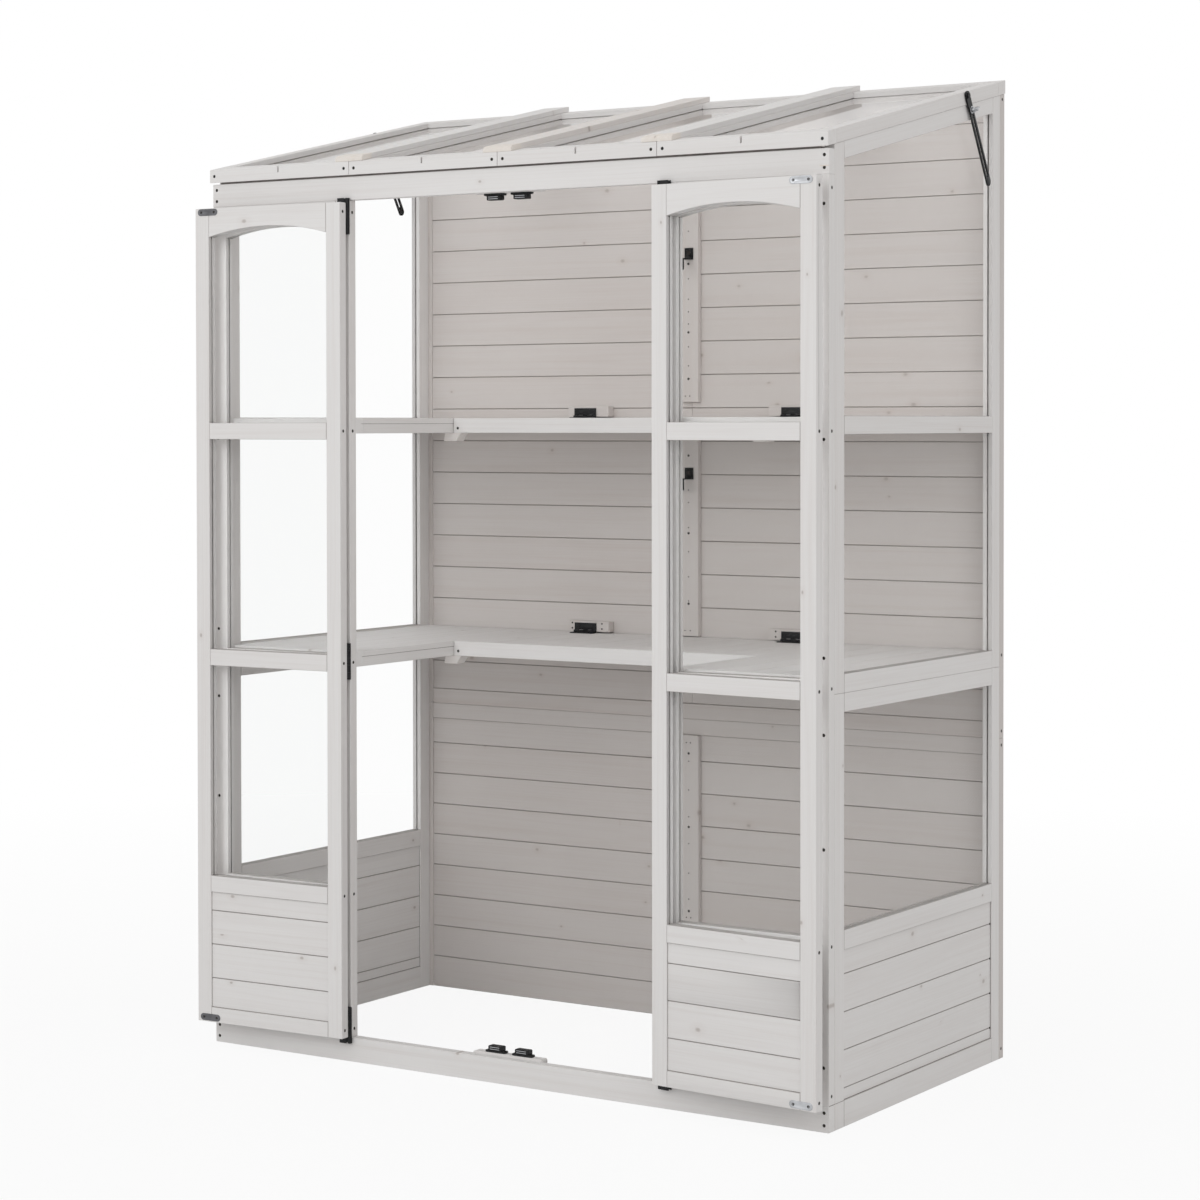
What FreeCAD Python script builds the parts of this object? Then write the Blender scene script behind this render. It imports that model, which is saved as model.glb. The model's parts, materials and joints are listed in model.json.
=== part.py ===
import FreeCAD, Part
import math
import os
import re

# Wooden mini greenhouse: a lean-to cabinet with glazed walls, two doors that stand open,
# two roof vents on slotted stays, and two tiers of shelves with a folding middle leaf.
# X runs to the right, Y into the depth, Z up. The origin lies on the floor, midway
# between the side walls and in the plane of the front face.

doc = FreeCAD.newDocument("MiniGreenhouse")
sheet = doc.addObject("Spreadsheet::Sheet", "Sizes")

SIZES = [
    ("bodyWidth", 1440, "outside width over the side walls"),
    ("bodyDepth", 754, "front face to the back of the back wall"),
    ("panelThickness", 22, "thickness of the front panels, doors and side walls"),
    ("stileWidth", 34, "face width of stiles and rails in the front panels"),
    ("jointGap", 0.3, "open joint between two timbers that meet"),
    ("baseHeight", 49, "top of the front base rail and of the side bottom rails"),
    ("headerBottom", 1738, "underside of the front header rail"),
    ("headerTop", 1785, "top of the front header rail"),
    ("openingHalf", 366.4, "half the doorway between the fixed panels"),
    ("bottomRailTop", 82, "top of the bottom rail in front panels and doors"),
    ("sillBottom", 321, "underside of the sill rail in front panels and doors"),
    ("midRailBottom", 790, "underside of the middle rail"),
    ("highRailBottom", 1257, "underside of the upper rail"),
    ("archSpring", 1673, "height where the arch under the top rail starts"),
    ("archRise", 19, "rise of the arch"),
    ("paneThickness", 3, "thickness of the clear panes"),
    ("paneClearance", 0.3, "room round a pane in its groove"),
    ("grooveDepth", 8, "depth of the grooves for panes and boards"),
    ("boardPitch", 70, "cover width of the tongued boards"),
    ("boardThickness", 15, "thickness of the boards in the front and side walls"),
    ("boardGap", 0.6, "open joint between two boards"),
    ("boardChamfer", 1.2, "chamfer on the long edges of a board"),
    ("tongueDepth", 5, "height of the tongue on a board"),
    ("tongueThickness", 5, "thickness of that tongue"),
    ("tongueClearance", 0.3, "room round the tongue"),
    ("frontBoardOffset", 2.5, "height of the board joints in the front above full pitches"),
    ("doorBottom", 50.8, "underside of the doors"),
    ("doorTop", 1732.4, "top of the doors"),
    ("doorSideGap", 0.8, "gap at the hinge side of a closed door"),
    ("doorMeetingGap", 2.4, "gap between the two closed doors"),
    ("doorProud", 0.5, "how far a closed door stands in front of the fixed panels"),
    ("leftDoorOpen", 177.9, "opening angle of the left door at rest"),
    ("rightDoorOpen", 175.1, "opening angle of the right door at rest"),
    ("sideStileWidth", 34.5, "face width of a side wall's back stile"),
    ("sideFrontWidth", 37.5, "face width of a side wall's front stile"),
    ("sideSillBottom", 325, "underside of the side sill"),
    ("sideSillTop", 362, "top of the side sill"),
    ("lowerWallTop", 796, "seam between the lower and upper side frames"),
    ("seamRail", 35, "height of the rail above and below that seam"),
    ("sideMidRailBottom", 1268, "underside of the middle rail in the upper side window"),
    ("sideMidRailTop", 1302, "top of that rail"),
    ("sideTopRail", 32, "height of the sloping top rail of a side wall"),
    ("backThickness", 21, "thickness of the back wall's frame"),
    ("backRecess", 2.5, "how far the back boards lie behind that frame"),
    ("backSeamBottom", 616.5, "underside of the back wall's seam rails"),
    ("backSeamTop", 683.5, "top of the back wall's seam rails"),
    ("upperBoardStart", 676.3, "height from which the upper back boards count"),
    ("upperBoardPitch", 71.7, "cover width of the upper back boards"),
    ("backStileWidth", 32, "face width of the back wall's edge stiles"),
    ("backStileJoint", 650.6, "height of the butt joint in the edge stiles"),
    ("centreStripWidth", 44, "width of the centre strip on the back wall"),
    ("centreStripThickness", 10, "how far the centre strip stands in front of the back frame"),
    ("lowStripBottom", 212, "lower end of the lowest centre strip"),
    ("lowStripTop", "=backSeamBottom - jointGap", "upper end of that strip"),
    ("midStripBottom", "=lowerShelfTop + 2", "lower end of the middle centre strip"),
    ("midStripTop", "=upperShelfTop - 41", "upper end of that strip"),
    ("highStripBottom", "=upperShelfTop + 34", "lower end of the highest centre strip"),
    ("highStripTop", "=upperShelfTop + 447", "upper end of that strip"),
    ("roofUnderFront", 1789.5, "underside of the roof in the plane of the front face"),
    ("roofUnderBack", 1952.6, "underside of the roof at the back face"),
    ("roofFront", -8, "front edge of the roof"),
    ("roofOverhang", 2, "how far the roof reaches past a side wall"),
    ("roofHalf", "=bodyWidth / 2 + roofOverhang", "half the width of the roof"),
    ("roofThickness", 27.2, "thickness of the roof frames, measured upright"),
    ("roofSeamGap", 1, "gap between two roof panels"),
    ("seatGap", 0.3, "gap between a closed vent and what it lies on"),
    ("drainWidth", 4, "width of the drain slot in a roof panel's front rail"),
    ("drainDepth", 13, "depth of that slot from the top"),
    ("battenWidth", 66, "width of the battens over the roof seams"),
    ("battenThickness", 11, "thickness of the battens"),
    ("battenChamfer", 5, "chamfer on the front end of a batten"),
    ("shelfHeight", 31, "height of the shelf rails"),
    ("lowerShelfTop", 828, "top of the lower shelf"),
    ("upperShelfTop", 1300, "top of the upper shelf"),
    ("shelfRail", 25, "thickness of the shelf rails"),
    ("shelfBoard", 14, "thickness of the shelf boards"),
    ("sideShelfInner", 367, "distance of the side shelves from the middle"),
    ("middleShelfHalf", 366, "half the width of the folding shelf"),
    ("middleShelfFront", 362, "depth of the folding shelf's front edge"),
    ("shelfBackGap", 1, "gap between a folding shelf and the back wall"),
    ("ledgeInner", 340, "inner end of a ledge block"),
    ("ledgeOuter", 395, "outer end of a ledge block"),
    ("ledgeDepth", 30, "depth of a ledge block"),
    ("ledgeHeight", 22, "height of a ledge block"),
    ("shelfBlockInner", 200, "inner end of a shelf hinge block"),
    ("shelfBlockOuter", 304, "outer end of a shelf hinge block"),
    ("shelfBlockDepth", 20, "depth of a shelf hinge block"),
    ("shelfBlockHeight", 23, "height of a shelf hinge block"),
    ("shelfBlockLift", 3, "gap between a shelf and its hinge block"),
    ("shelfHingeCentre", 259, "distance of a shelf hinge from the middle"),
    ("shelfHingeLength", 56, "length of a shelf hinge"),
    ("shelfLeafWidth", 18.5, "width of a shelf hinge leaf from its axis"),
    ("shelfKnuckleRadius", 3, "radius of a shelf hinge knuckle"),
    ("shelfPinRadius", 1.4, "radius of a shelf hinge pin"),
    ("shelfHingeOffset", 3.5, "axis of a shelf hinge above its mounting faces"),
    ("doorHingeLength", 73, "length of a door hinge"),
    ("doorLeafWidth", 22, "width of a door hinge leaf from its axis"),
    ("topHingeBottom", 1669, "lower end of the top door hinge"),
    ("middleHingeBottom", 773.5, "lower end of the middle door hinge"),
    ("bottomHingeBottom", 38, "lower end of the bottom door hinge"),
    ("knuckleRadius", 4.5, "radius of a door or vent hinge knuckle"),
    ("pinRadius", 2, "radius of a door or vent hinge pin"),
    ("pinClearance", 0.06, "room between a pin and its knuckle"),
    ("knuckleGap", 0.3, "gap between two knuckles"),
    ("leafThickness", 2, "thickness of a hinge leaf"),
    ("leafRelief", 0.7, "distance between a knuckle and the full width of the other leaf"),
    ("hingeOffset", 5.3, "axis of a door or vent hinge above its mounting face"),
    ("ventHingeLength", 60, "length of a vent hinge"),
    ("ventLeafWidth", 22, "width of a vent hinge leaf from its axis"),
    ("ventHingeSpread", 110, "distance of a vent hinge from the middle of its panel"),
    ("catchCentre", 31.5, "distance of a magnetic catch from the middle"),
    ("catchFlange", 47, "length of a catch flange"),
    ("catchFlangeThickness", 4, "thickness of a catch flange"),
    ("catchFlangeDepth", 16, "depth of a catch flange"),
    ("catchBody", 32, "length of a catch body"),
    ("catchBodyHeight", 9.5, "height of a catch body"),
    ("catchBodyDepth", 18, "depth of a catch body"),
    ("catchGap", 0.3, "gap between a closed door's strike plate and its catch"),
    ("catchBlockHalf", 81.5, "half the length of a catch block"),
    ("catchBlockDepth", 20, "depth of a catch block"),
    ("catchBlockHeight", 24, "height of a catch block"),
    ("catchBlockRise", 4, "how far the lower catch block stands above the base rail"),
    ("catchBlockChamfer", 3, "chamfer on the ends of a catch block"),
    ("strikeLength", 50, "length of a strike plate"),
    ("strikeHeight", 14, "height of a strike plate"),
    ("strikeThickness", 1.2, "thickness of a strike plate"),
    ("strikeInset", 7, "distance of a strike plate from the door's free edge"),
    ("strikeEdge", 0.9, "distance of the upper strike plate from the door's top"),
    ("hookPlate", 21, "width of a shelf catch plate"),
    ("hookPlateHeight", 25, "height of a shelf catch plate"),
    ("hookArmWidth", 11, "width of a shelf catch arm"),
    ("hookLip", 25, "length of a shelf catch lip"),
    ("hookReach", 33, "distance of the lip's front from the centre strip"),
    ("hookThickness", 2, "thickness of a shelf catch"),
    ("hookStandOff", 0.3, "gap between a shelf catch and the strip it turns on"),
    ("hookAbove", 340, "height of a shelf catch plate above its shelf"),
    ("hookScrewRadius", 2, "radius of a shelf catch screw"),
    ("hookScrewHead", 4, "radius of its head"),
    ("stayPivotBack", 185, "distance of the stay pivot from the back face"),
    ("stayPivotRise", 18.9, "height of the stay pivot above the roof's underside"),
    ("stayPivotY", "=bodyDepth - stayPivotBack", "depth of the stay pivot"),
    ("stayPivotZ",
     "=roofUnderFront + stayPivotY * (roofUnderBack - roofUnderFront) / bodyDepth + stayPivotRise",
     "height of the stay pivot"),
    ("stayLean", 30.8, "angle of a stay at rest from upright"),
    ("stayLength", 188.5, "distance between the round ends of a stay"),
    ("stayHalfWidth", 9, "half the width of a stay"),
    ("stayThickness", 3, "thickness of a stay"),
    ("stayStandOff", 1.5, "gap between a stay and the roof's edge"),
    ("staySlotHalf", 3.3, "half the width of a stay's slot"),
    ("staySlotStart", 28, "start of the slot below the pivot"),
    ("staySlotEnd", 175, "end of the slot below the pivot"),
    ("stayBoltDistance", 31.2, "distance of the stay bolt from the pivot at rest"),
    ("stayBoltRadius", 2.9, "radius of the stay bolt"),
    ("stayBoltLength", 21, "length of the stay bolt outside the wall"),
    ("stayScrewRadius", 2.4, "radius of the stay's pivot screw"),
    ("stayScrewHead", 5, "radius of its head"),
    ("stayScrewHeadHeight", 2.5, "thickness of that head"),
    ("stayScrewDepth", 14, "how far the pivot screw reaches into the vent"),
    ("washerRadius", 7.5, "radius of the washer under a wing nut"),
    ("washerThickness", 1.2, "thickness of that washer"),
    ("wingHubRadius", 5.5, "radius of a wing nut's hub"),
    ("wingHubLength", 6, "length of that hub"),
    ("wingSpan", 13, "reach of a wing from the bolt's axis"),
    ("wingHeight", 11, "height of a wing along the bolt"),
    ("wingThickness", 2.5, "thickness of a wing"),
    ("screwHeadRadius", 3.2, "radius of a frame screw's head"),
    ("screwHeadDepth", 2.5, "thickness of that head"),
    ("screwRadius", 1.8, "radius of a frame screw's shank"),
    ("screwLength", 50, "length of a frame screw"),
    ("screwSink", 0.5, "how deep a screw head lies under the surface"),
    ("screwClearance", 0.1, "room round a screw in its hole"),
    ("topScrewRise", 41, "height of a top rail's edge screws above the arch's start"),
    ("cornerScrewFoot", "=bottomRailTop + 36", "height of the lowest screw at a front corner"),
    ("cornerScrewLow", "=sillBottom + 194", "height of the second screw there"),
    ("cornerScrewBelow", "=lowerWallTop - 73", "height of the screw below the side frames' seam"),
    ("cornerScrewAbove", "=lowerWallTop + 67", "height of the screw above that seam"),
    ("cornerScrewHigh", "=highRailBottom + 2", "height of the fifth screw"),
    ("cornerScrewTop", "=archSpring + 12", "height of the highest screw"),
    ("backScrewFoot", 20, "height of the lowest screw in a back corner's edge"),
    ("backScrewBelow", "=backStileJoint - 14", "height of the screw below that edge's joint"),
    ("backScrewAbove", "=backStileJoint + 14.5", "height of the screw above the joint"),
    ("backScrewMiddle", "=lowerWallTop + 23", "height of the fourth screw"),
    ("backScrewTop", "=roofUnderBack - 12.5", "height of the highest screw"),
    ("shortScrewLength", 30, "length of the fourth screw, which ends inside its stile"),
    ("roofScrewLength", 37.5, "length of the screws in a roof panel's front rail"),
    ("endScrewInset", 10, "distance of the base and header screws from the ends"),
    ("endScrewSpread", 11.5, "distance of those screws from the middle of the rail"),
    ("roofScrewInset", 12, "distance of the roof's front screws from the panel ends"),
]
KNUCKLES = 5
ROOF_PANELS = 4
SHELF_BEARERS = 2
FREECAD_FUNCTIONS = ("sqrt", "sin", "cos")

size = {}
for row, (alias, amount, meaning) in enumerate(SIZES, start=1):
    sheet.set(f"A{row}", alias)
    sheet.set(f"B{row}", str(amount))
    sheet.set(f"C{row}", meaning)
    sheet.setAlias(f"B{row}", alias)
    size[alias] = amount
doc.recompute()

nodes = []


# Small helpers

def bind(piece, name, formula):
    """Tie one property to a formula of the sheet's aliases."""
    def cell(match):
        word = match.group(0)
        return word if word in FREECAD_FUNCTIONS else "Sizes." + word
    piece.setExpression(name, re.sub(r"[a-z][A-Za-z]+", cell, str(formula)))


def box(name, x, y, z):
    """A straight timber or plate: a (start, end) pair of formulas for each axis."""
    piece = doc.addObject("Part::Box", name)
    for letter, length, (start, end) in zip("xyz", ("Length", "Width", "Height"), (x, y, z)):
        bind(piece, length, f"({end}) - ({start})")
        bind(piece, "Placement.Base." + letter, start)
    return piece


def sloped(name, x, y, low, high):
    """A timber with upright ends whose lower and upper faces run from front to back at a slope.
    low and high are pairs of heights, at the front end and at the back end."""
    piece = doc.addObject("Part::Wedge", name)
    for prefix, value in (("X", x), ("X2", x)):
        bind(piece, prefix + "min", value[0])
        bind(piece, prefix + "max", value[1])
    bind(piece, "Ymin", y[0])
    bind(piece, "Ymax", y[1])
    bind(piece, "Zmin", low[0])
    bind(piece, "Zmax", high[0])
    bind(piece, "Z2min", low[1])
    bind(piece, "Z2max", high[1])
    return piece


TURN = {
    "x": FreeCAD.Rotation(FreeCAD.Vector(0, 1, 0), 90),
    "y": FreeCAD.Rotation(FreeCAD.Vector(1, 0, 0), -90),
    "z": FreeCAD.Rotation(),
}


def rod(name, axis, start, length, radius):
    """A round bar along an axis from a start point of three formulas."""
    piece = doc.addObject("Part::Cylinder", name)
    piece.Placement = FreeCAD.Placement(FreeCAD.Vector(), TURN[axis])
    for letter, formula in zip("xyz", start):
        bind(piece, "Placement.Base." + letter, formula)
    bind(piece, "Height", length)
    bind(piece, "Radius", radius)
    return piece


def fuse(name, pieces):
    piece = doc.addObject("Part::MultiFuse", name)
    piece.Shapes = pieces
    return piece


def cut(name, base, tool):
    piece = doc.addObject("Part::Cut", name)
    piece.Base = base
    piece.Tool = tool
    return piece


def gather(name, pieces):
    piece = doc.addObject("Part::Compound", name)
    piece.Links = pieces
    return piece


def node(label, pieces):
    """The solids of one named sub-part."""
    piece = gather(label, pieces)
    piece.Label = label
    nodes.append(piece)
    return piece


BOX_EDGES = Part.makeBox(1, 1, 1).Edges


def chamfer_along(name, piece, axis, amount):
    """Chamfer the four edges of a straight timber that run along an axis."""
    result = doc.addObject("Part::Chamfer", name)
    result.Base = piece
    edges = []
    for number, edge in enumerate(BOX_EDGES, start=1):
        run = edge.Vertexes[1].Point - edge.Vertexes[0].Point
        if abs(getattr(run, axis)) > 0.5:
            edges.append((number, amount, amount))
    result.Edges = edges
    return result


def across(side, inner, outer):
    """The X span of a piece that lies between two distances from the middle."""
    if side > 0:
        return (inner, outer)
    return (f"-({outer})", f"-({inner})")


def roof_under(y):
    """Height of the roof's underside at a depth."""
    return f"(roofUnderFront + ({y}) * (roofUnderBack - roofUnderFront) / bodyDepth)"


def board_lines(offset, low, high, cover="boardPitch"):
    """Joint lines between two heights, one every cover width above an offset."""
    margin = 20
    pitch = size[cover]
    start = size.get(offset, 0)
    bottom = size.get(low, 0)
    top = size[high]
    first = math.ceil((bottom + margin - start) / pitch)
    last = math.floor((top - margin - start) / pitch)
    return [f"{offset} + {cover} * {count}" for count in range(first, last + 1)]


def board_row(name, stack, face, lines, thickness, run):
    """Tongued boards laid edge to edge.
    stack is the axis across the boards and face the axis through them; lines holds the two
    outer edges and every joint between; thickness and run are the spans of a board."""
    row = []
    length = "xyz".replace(stack, "").replace(face, "")
    middle = f"(({thickness[0]}) + ({thickness[1]})) / 2"

    def spans(low, high, depth):
        span = {stack: (low, high), face: depth, length: run}
        return span["x"], span["y"], span["z"]

    tongue = (f"{middle} - tongueThickness / 2", f"{middle} + tongueThickness / 2")
    slot = (f"{tongue[0]} - tongueClearance", f"{tongue[1]} + tongueClearance")
    for number, (low, high) in enumerate(zip(lines, lines[1:])):
        title = f"{name}_{number + 1}"
        first = number == 0
        last = number == len(lines) - 2
        bottom = low if first else f"{low} + boardGap / 2"
        top = high if last else f"{high} - boardGap / 2"
        plain = box(title + "_plank", *spans(bottom, top, thickness))
        board = chamfer_along(title + "_eased", plain, length, size["boardChamfer"])
        if not first:
            reach = f"{bottom} + tongueDepth + tongueClearance - boardGap"
            groove = box(title + "_groove", *spans(f"{bottom} - boardGap", reach, slot))
            board = cut(title + "_grooved", board, groove)
        if not last:
            tip = box(title + "_tongue", *spans(f"{top} - 1", f"{top} + tongueDepth", tongue))
            board = fuse(title, [board, tip])
        row.append(board)
    return row


def wood_screw(name, axis, side, start, length="screwLength"):
    """A countersunk screw that starts at a face and runs along an axis, and its hole.
    side is +1 when it runs towards the positive end of the axis."""
    def bar(part, near, far, radius):
        low, high = (near, far) if side > 0 else (f"-({far})", f"-({near})")
        point = [f"{value} + {low}" if letter == axis else value
                 for letter, value in zip("xyz", start)]
        return rod(f"{name}_{part}", axis, point, f"({high}) - ({low})", radius)

    head = bar("head", "screwSink", "screwSink + screwHeadDepth", "screwHeadRadius")
    shank = bar("shank", "screwSink + screwHeadDepth / 2", length, "screwRadius")
    wide = bar("wide", "0 - 1", "screwSink + screwHeadDepth + screwClearance",
               "screwHeadRadius + screwClearance")
    deep = bar("deep", "0", f"{length} + screwClearance", "screwRadius + screwClearance")
    return fuse(name, [head, shank]), fuse(name + "_hole", [wide, deep])


# Glazed front panels, used for the fixed panels and for the doors

def panel_rails(bottom, top):
    """Name and height span of each rail in a front panel, from the bottom up."""
    return [
        ("bottom_rail", bottom, "bottomRailTop"),
        ("sill", "sillBottom", "sillBottom + stileWidth"),
        ("middle_rail", "midRailBottom", "midRailBottom + stileWidth"),
        ("high_rail", "highRailBottom", "highRailBottom + stileWidth"),
        ("top_rail", "archSpring", top),
    ]


def front_panel(name, side, near, far, front, bottom, top):
    """Stiles, rails, boards, panes and edge screws of one glazed panel.
    near and far are its edges as distances along X, front the depth of its front face."""
    depth = (front, f"{front} + panelThickness")
    middle = f"({front} + panelThickness / 2)"
    inner = (f"{near} + stileWidth", f"{far} - stileWidth")
    rails = panel_rails(bottom, top)
    panes = []
    grooves = []
    slot = (f"{middle} - paneThickness / 2 - paneClearance",
            f"{middle} + paneThickness / 2 + paneClearance")
    glass = (f"{middle} - paneThickness / 2", f"{middle} + paneThickness / 2")
    lights = [(rails[1][2], rails[2][1]), (rails[2][2], rails[3][1]),
              (rails[3][2], "archSpring + archRise")]
    for number, (low, high) in enumerate(lights, start=1):
        wide = across(side, f"{inner[0]} - grooveDepth", f"{inner[1]} + grooveDepth")
        tall = (f"{low} - grooveDepth", f"{high} + grooveDepth")
        grooves.append(box(f"{name}_pane_groove_{number}", wide, slot, tall))
        wide = across(side, f"{inner[0]} - grooveDepth + paneClearance",
                      f"{inner[1]} + grooveDepth - paneClearance")
        tall = (f"{tall[0]} + paneClearance", f"{tall[1]} - paneClearance")
        panes.append(box(f"{name}_pane_{number}", wide, glass, tall))

    housing = (f"{middle} - boardThickness / 2 - jointGap / 2",
               f"{middle} + boardThickness / 2 + jointGap / 2")
    wide = across(side, f"{inner[0]} - grooveDepth", f"{inner[1]} + grooveDepth")
    grooves.append(box(f"{name}_board_housing", wide, housing,
                       ("bottomRailTop - grooveDepth", "sillBottom + grooveDepth")))
    wide = across(side, f"{inner[0]} - grooveDepth + jointGap",
                  f"{inner[1]} + grooveDepth - jointGap")
    lines = ["bottomRailTop - grooveDepth + jointGap"]
    lines += board_lines("frontBoardOffset", "bottomRailTop", "sillBottom")
    lines.append("sillBottom + grooveDepth - jointGap")
    boards = board_row(f"{name}_board", "z", "y", lines,
                       (f"{middle} - boardThickness / 2", f"{middle} + boardThickness / 2"), wide)

    screws = []
    holes = []
    for title, low, high in rails:
        level = f"({low} + {high}) / 2" if title != "top_rail" else "archSpring + topScrewRise"
        for edge, towards in ((near, side), (far, -side)):
            word = "near" if towards == side else "far"
            start = (edge if side > 0 else f"-({edge})", middle, level)
            screw, hole = wood_screw(f"{name}_{title}_{word}_screw", "x", towards, start)
            screws.append(screw)
            holes.append(hole)
    tools = gather(f"{name}_grooves", grooves)
    drill = gather(f"{name}_screw_holes", holes)

    timbers = [
        box(f"{name}_near_stile_bar", across(side, near, f"{inner[0]}"), depth, (bottom, top)),
        box(f"{name}_far_stile_bar", across(side, inner[1], far), depth, (bottom, top)),
    ]
    wide = across(side, f"{inner[0]} + jointGap", f"{inner[1]} - jointGap")
    for title, low, high in rails:
        timbers.append(box(f"{name}_{title}_bar", wide, depth, (low, high)))
    chord = f"({inner[1]} - ({inner[0]}))"
    radius = f"(({chord} / 2)^2 + archRise^2) / (2 * archRise)"
    centre = f"(({inner[0]}) + ({inner[1]})) / 2"
    arch = rod(f"{name}_arch", "y",
               (centre if side > 0 else f"-({centre})", f"{depth[0]} - 1",
                f"archSpring + archRise - {radius}"),
               "panelThickness + 2", radius)
    timbers[-1] = cut(f"{name}_top_rail_arched", timbers[-1], arch)
    frame = []
    for timber in timbers:
        grooved = cut(timber.Name + "_grooved", timber, tools)
        frame.append(cut(timber.Name + "_drilled", grooved, drill))
    return frame, boards, panes, screws


root_screws = []
wall_boards = []
wall_panes = []
SIDES = (("left", -1), ("right", 1))

CORNER_SCREWS = ("cornerScrewFoot", "cornerScrewLow", "cornerScrewBelow", "cornerScrewAbove",
                 "cornerScrewHigh", "cornerScrewTop")

# Fixed front panels, screwed to the side walls, base rail and header rail

corner_holes = {word: [] for word, side in SIDES}
for word, side in SIDES:
    frame, boards, panes, screws = front_panel(
        f"{word}_fixed", side, "openingHalf", "bodyWidth / 2", "0", "baseHeight", "headerBottom")
    for level in CORNER_SCREWS:
        start = (f"({side}) * (bodyWidth / 2 - panelThickness / 2)", "0", level)
        screw, hole = wood_screw(f"{word}_{level}", "y", 1, start)
        screws.append(screw)
        corner_holes[word].append(hole)
    frame[1] = cut(f"{word}_outer_stile", frame[1],
                   gather(f"{word}_corner_holes", corner_holes[word]))
    node(f"{word}_fixed_panel_frame", frame)
    wall_boards += boards
    wall_panes += panes
    root_screws += screws

for title, low, high in (("base", "0", "baseHeight"), ("header", "headerBottom", "headerTop")):
    holes = []
    for word, side in SIDES:
        for number, sign in enumerate("-+", start=1):
            start = (f"({side}) * (bodyWidth / 2 - endScrewInset)", "0",
                     f"({low} + {high}) / 2 {sign} endScrewSpread")
            screw, hole = wood_screw(f"{title}_{word}_screw_{number}", "y", 1, start)
            root_screws.append(screw)
            holes.append(hole)
            corner_holes[word].append(hole)
    rail = box(f"{title}_bar", ("-bodyWidth / 2", "bodyWidth / 2"), ("0", "panelThickness"),
               (low, high))
    if title == "header":
        for number, place in enumerate((-0.75, -0.25, 0.25, 0.75), start=1):
            start = (f"({place}) * (roofHalf / 2)", "panelThickness / 2",
                     f"{roof_under('panelThickness / 2')} + roofThickness - seatGap")
            screw, hole = wood_screw(f"roof_screw_{number}", "z", -1, start)
            root_screws.append(screw)
            holes.append(hole)
            corner_holes.setdefault("roof", []).append(hole)
    rail = cut(f"{title}_drilled", rail, gather(f"{title}_holes", holes))
    node("front_base_rail" if title == "base" else "front_header_rail", [rail])


# Side walls

def wall_top(y):
    """Height of a side or back wall at a depth."""
    return f"({roof_under(y)} - seatGap)"


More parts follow.
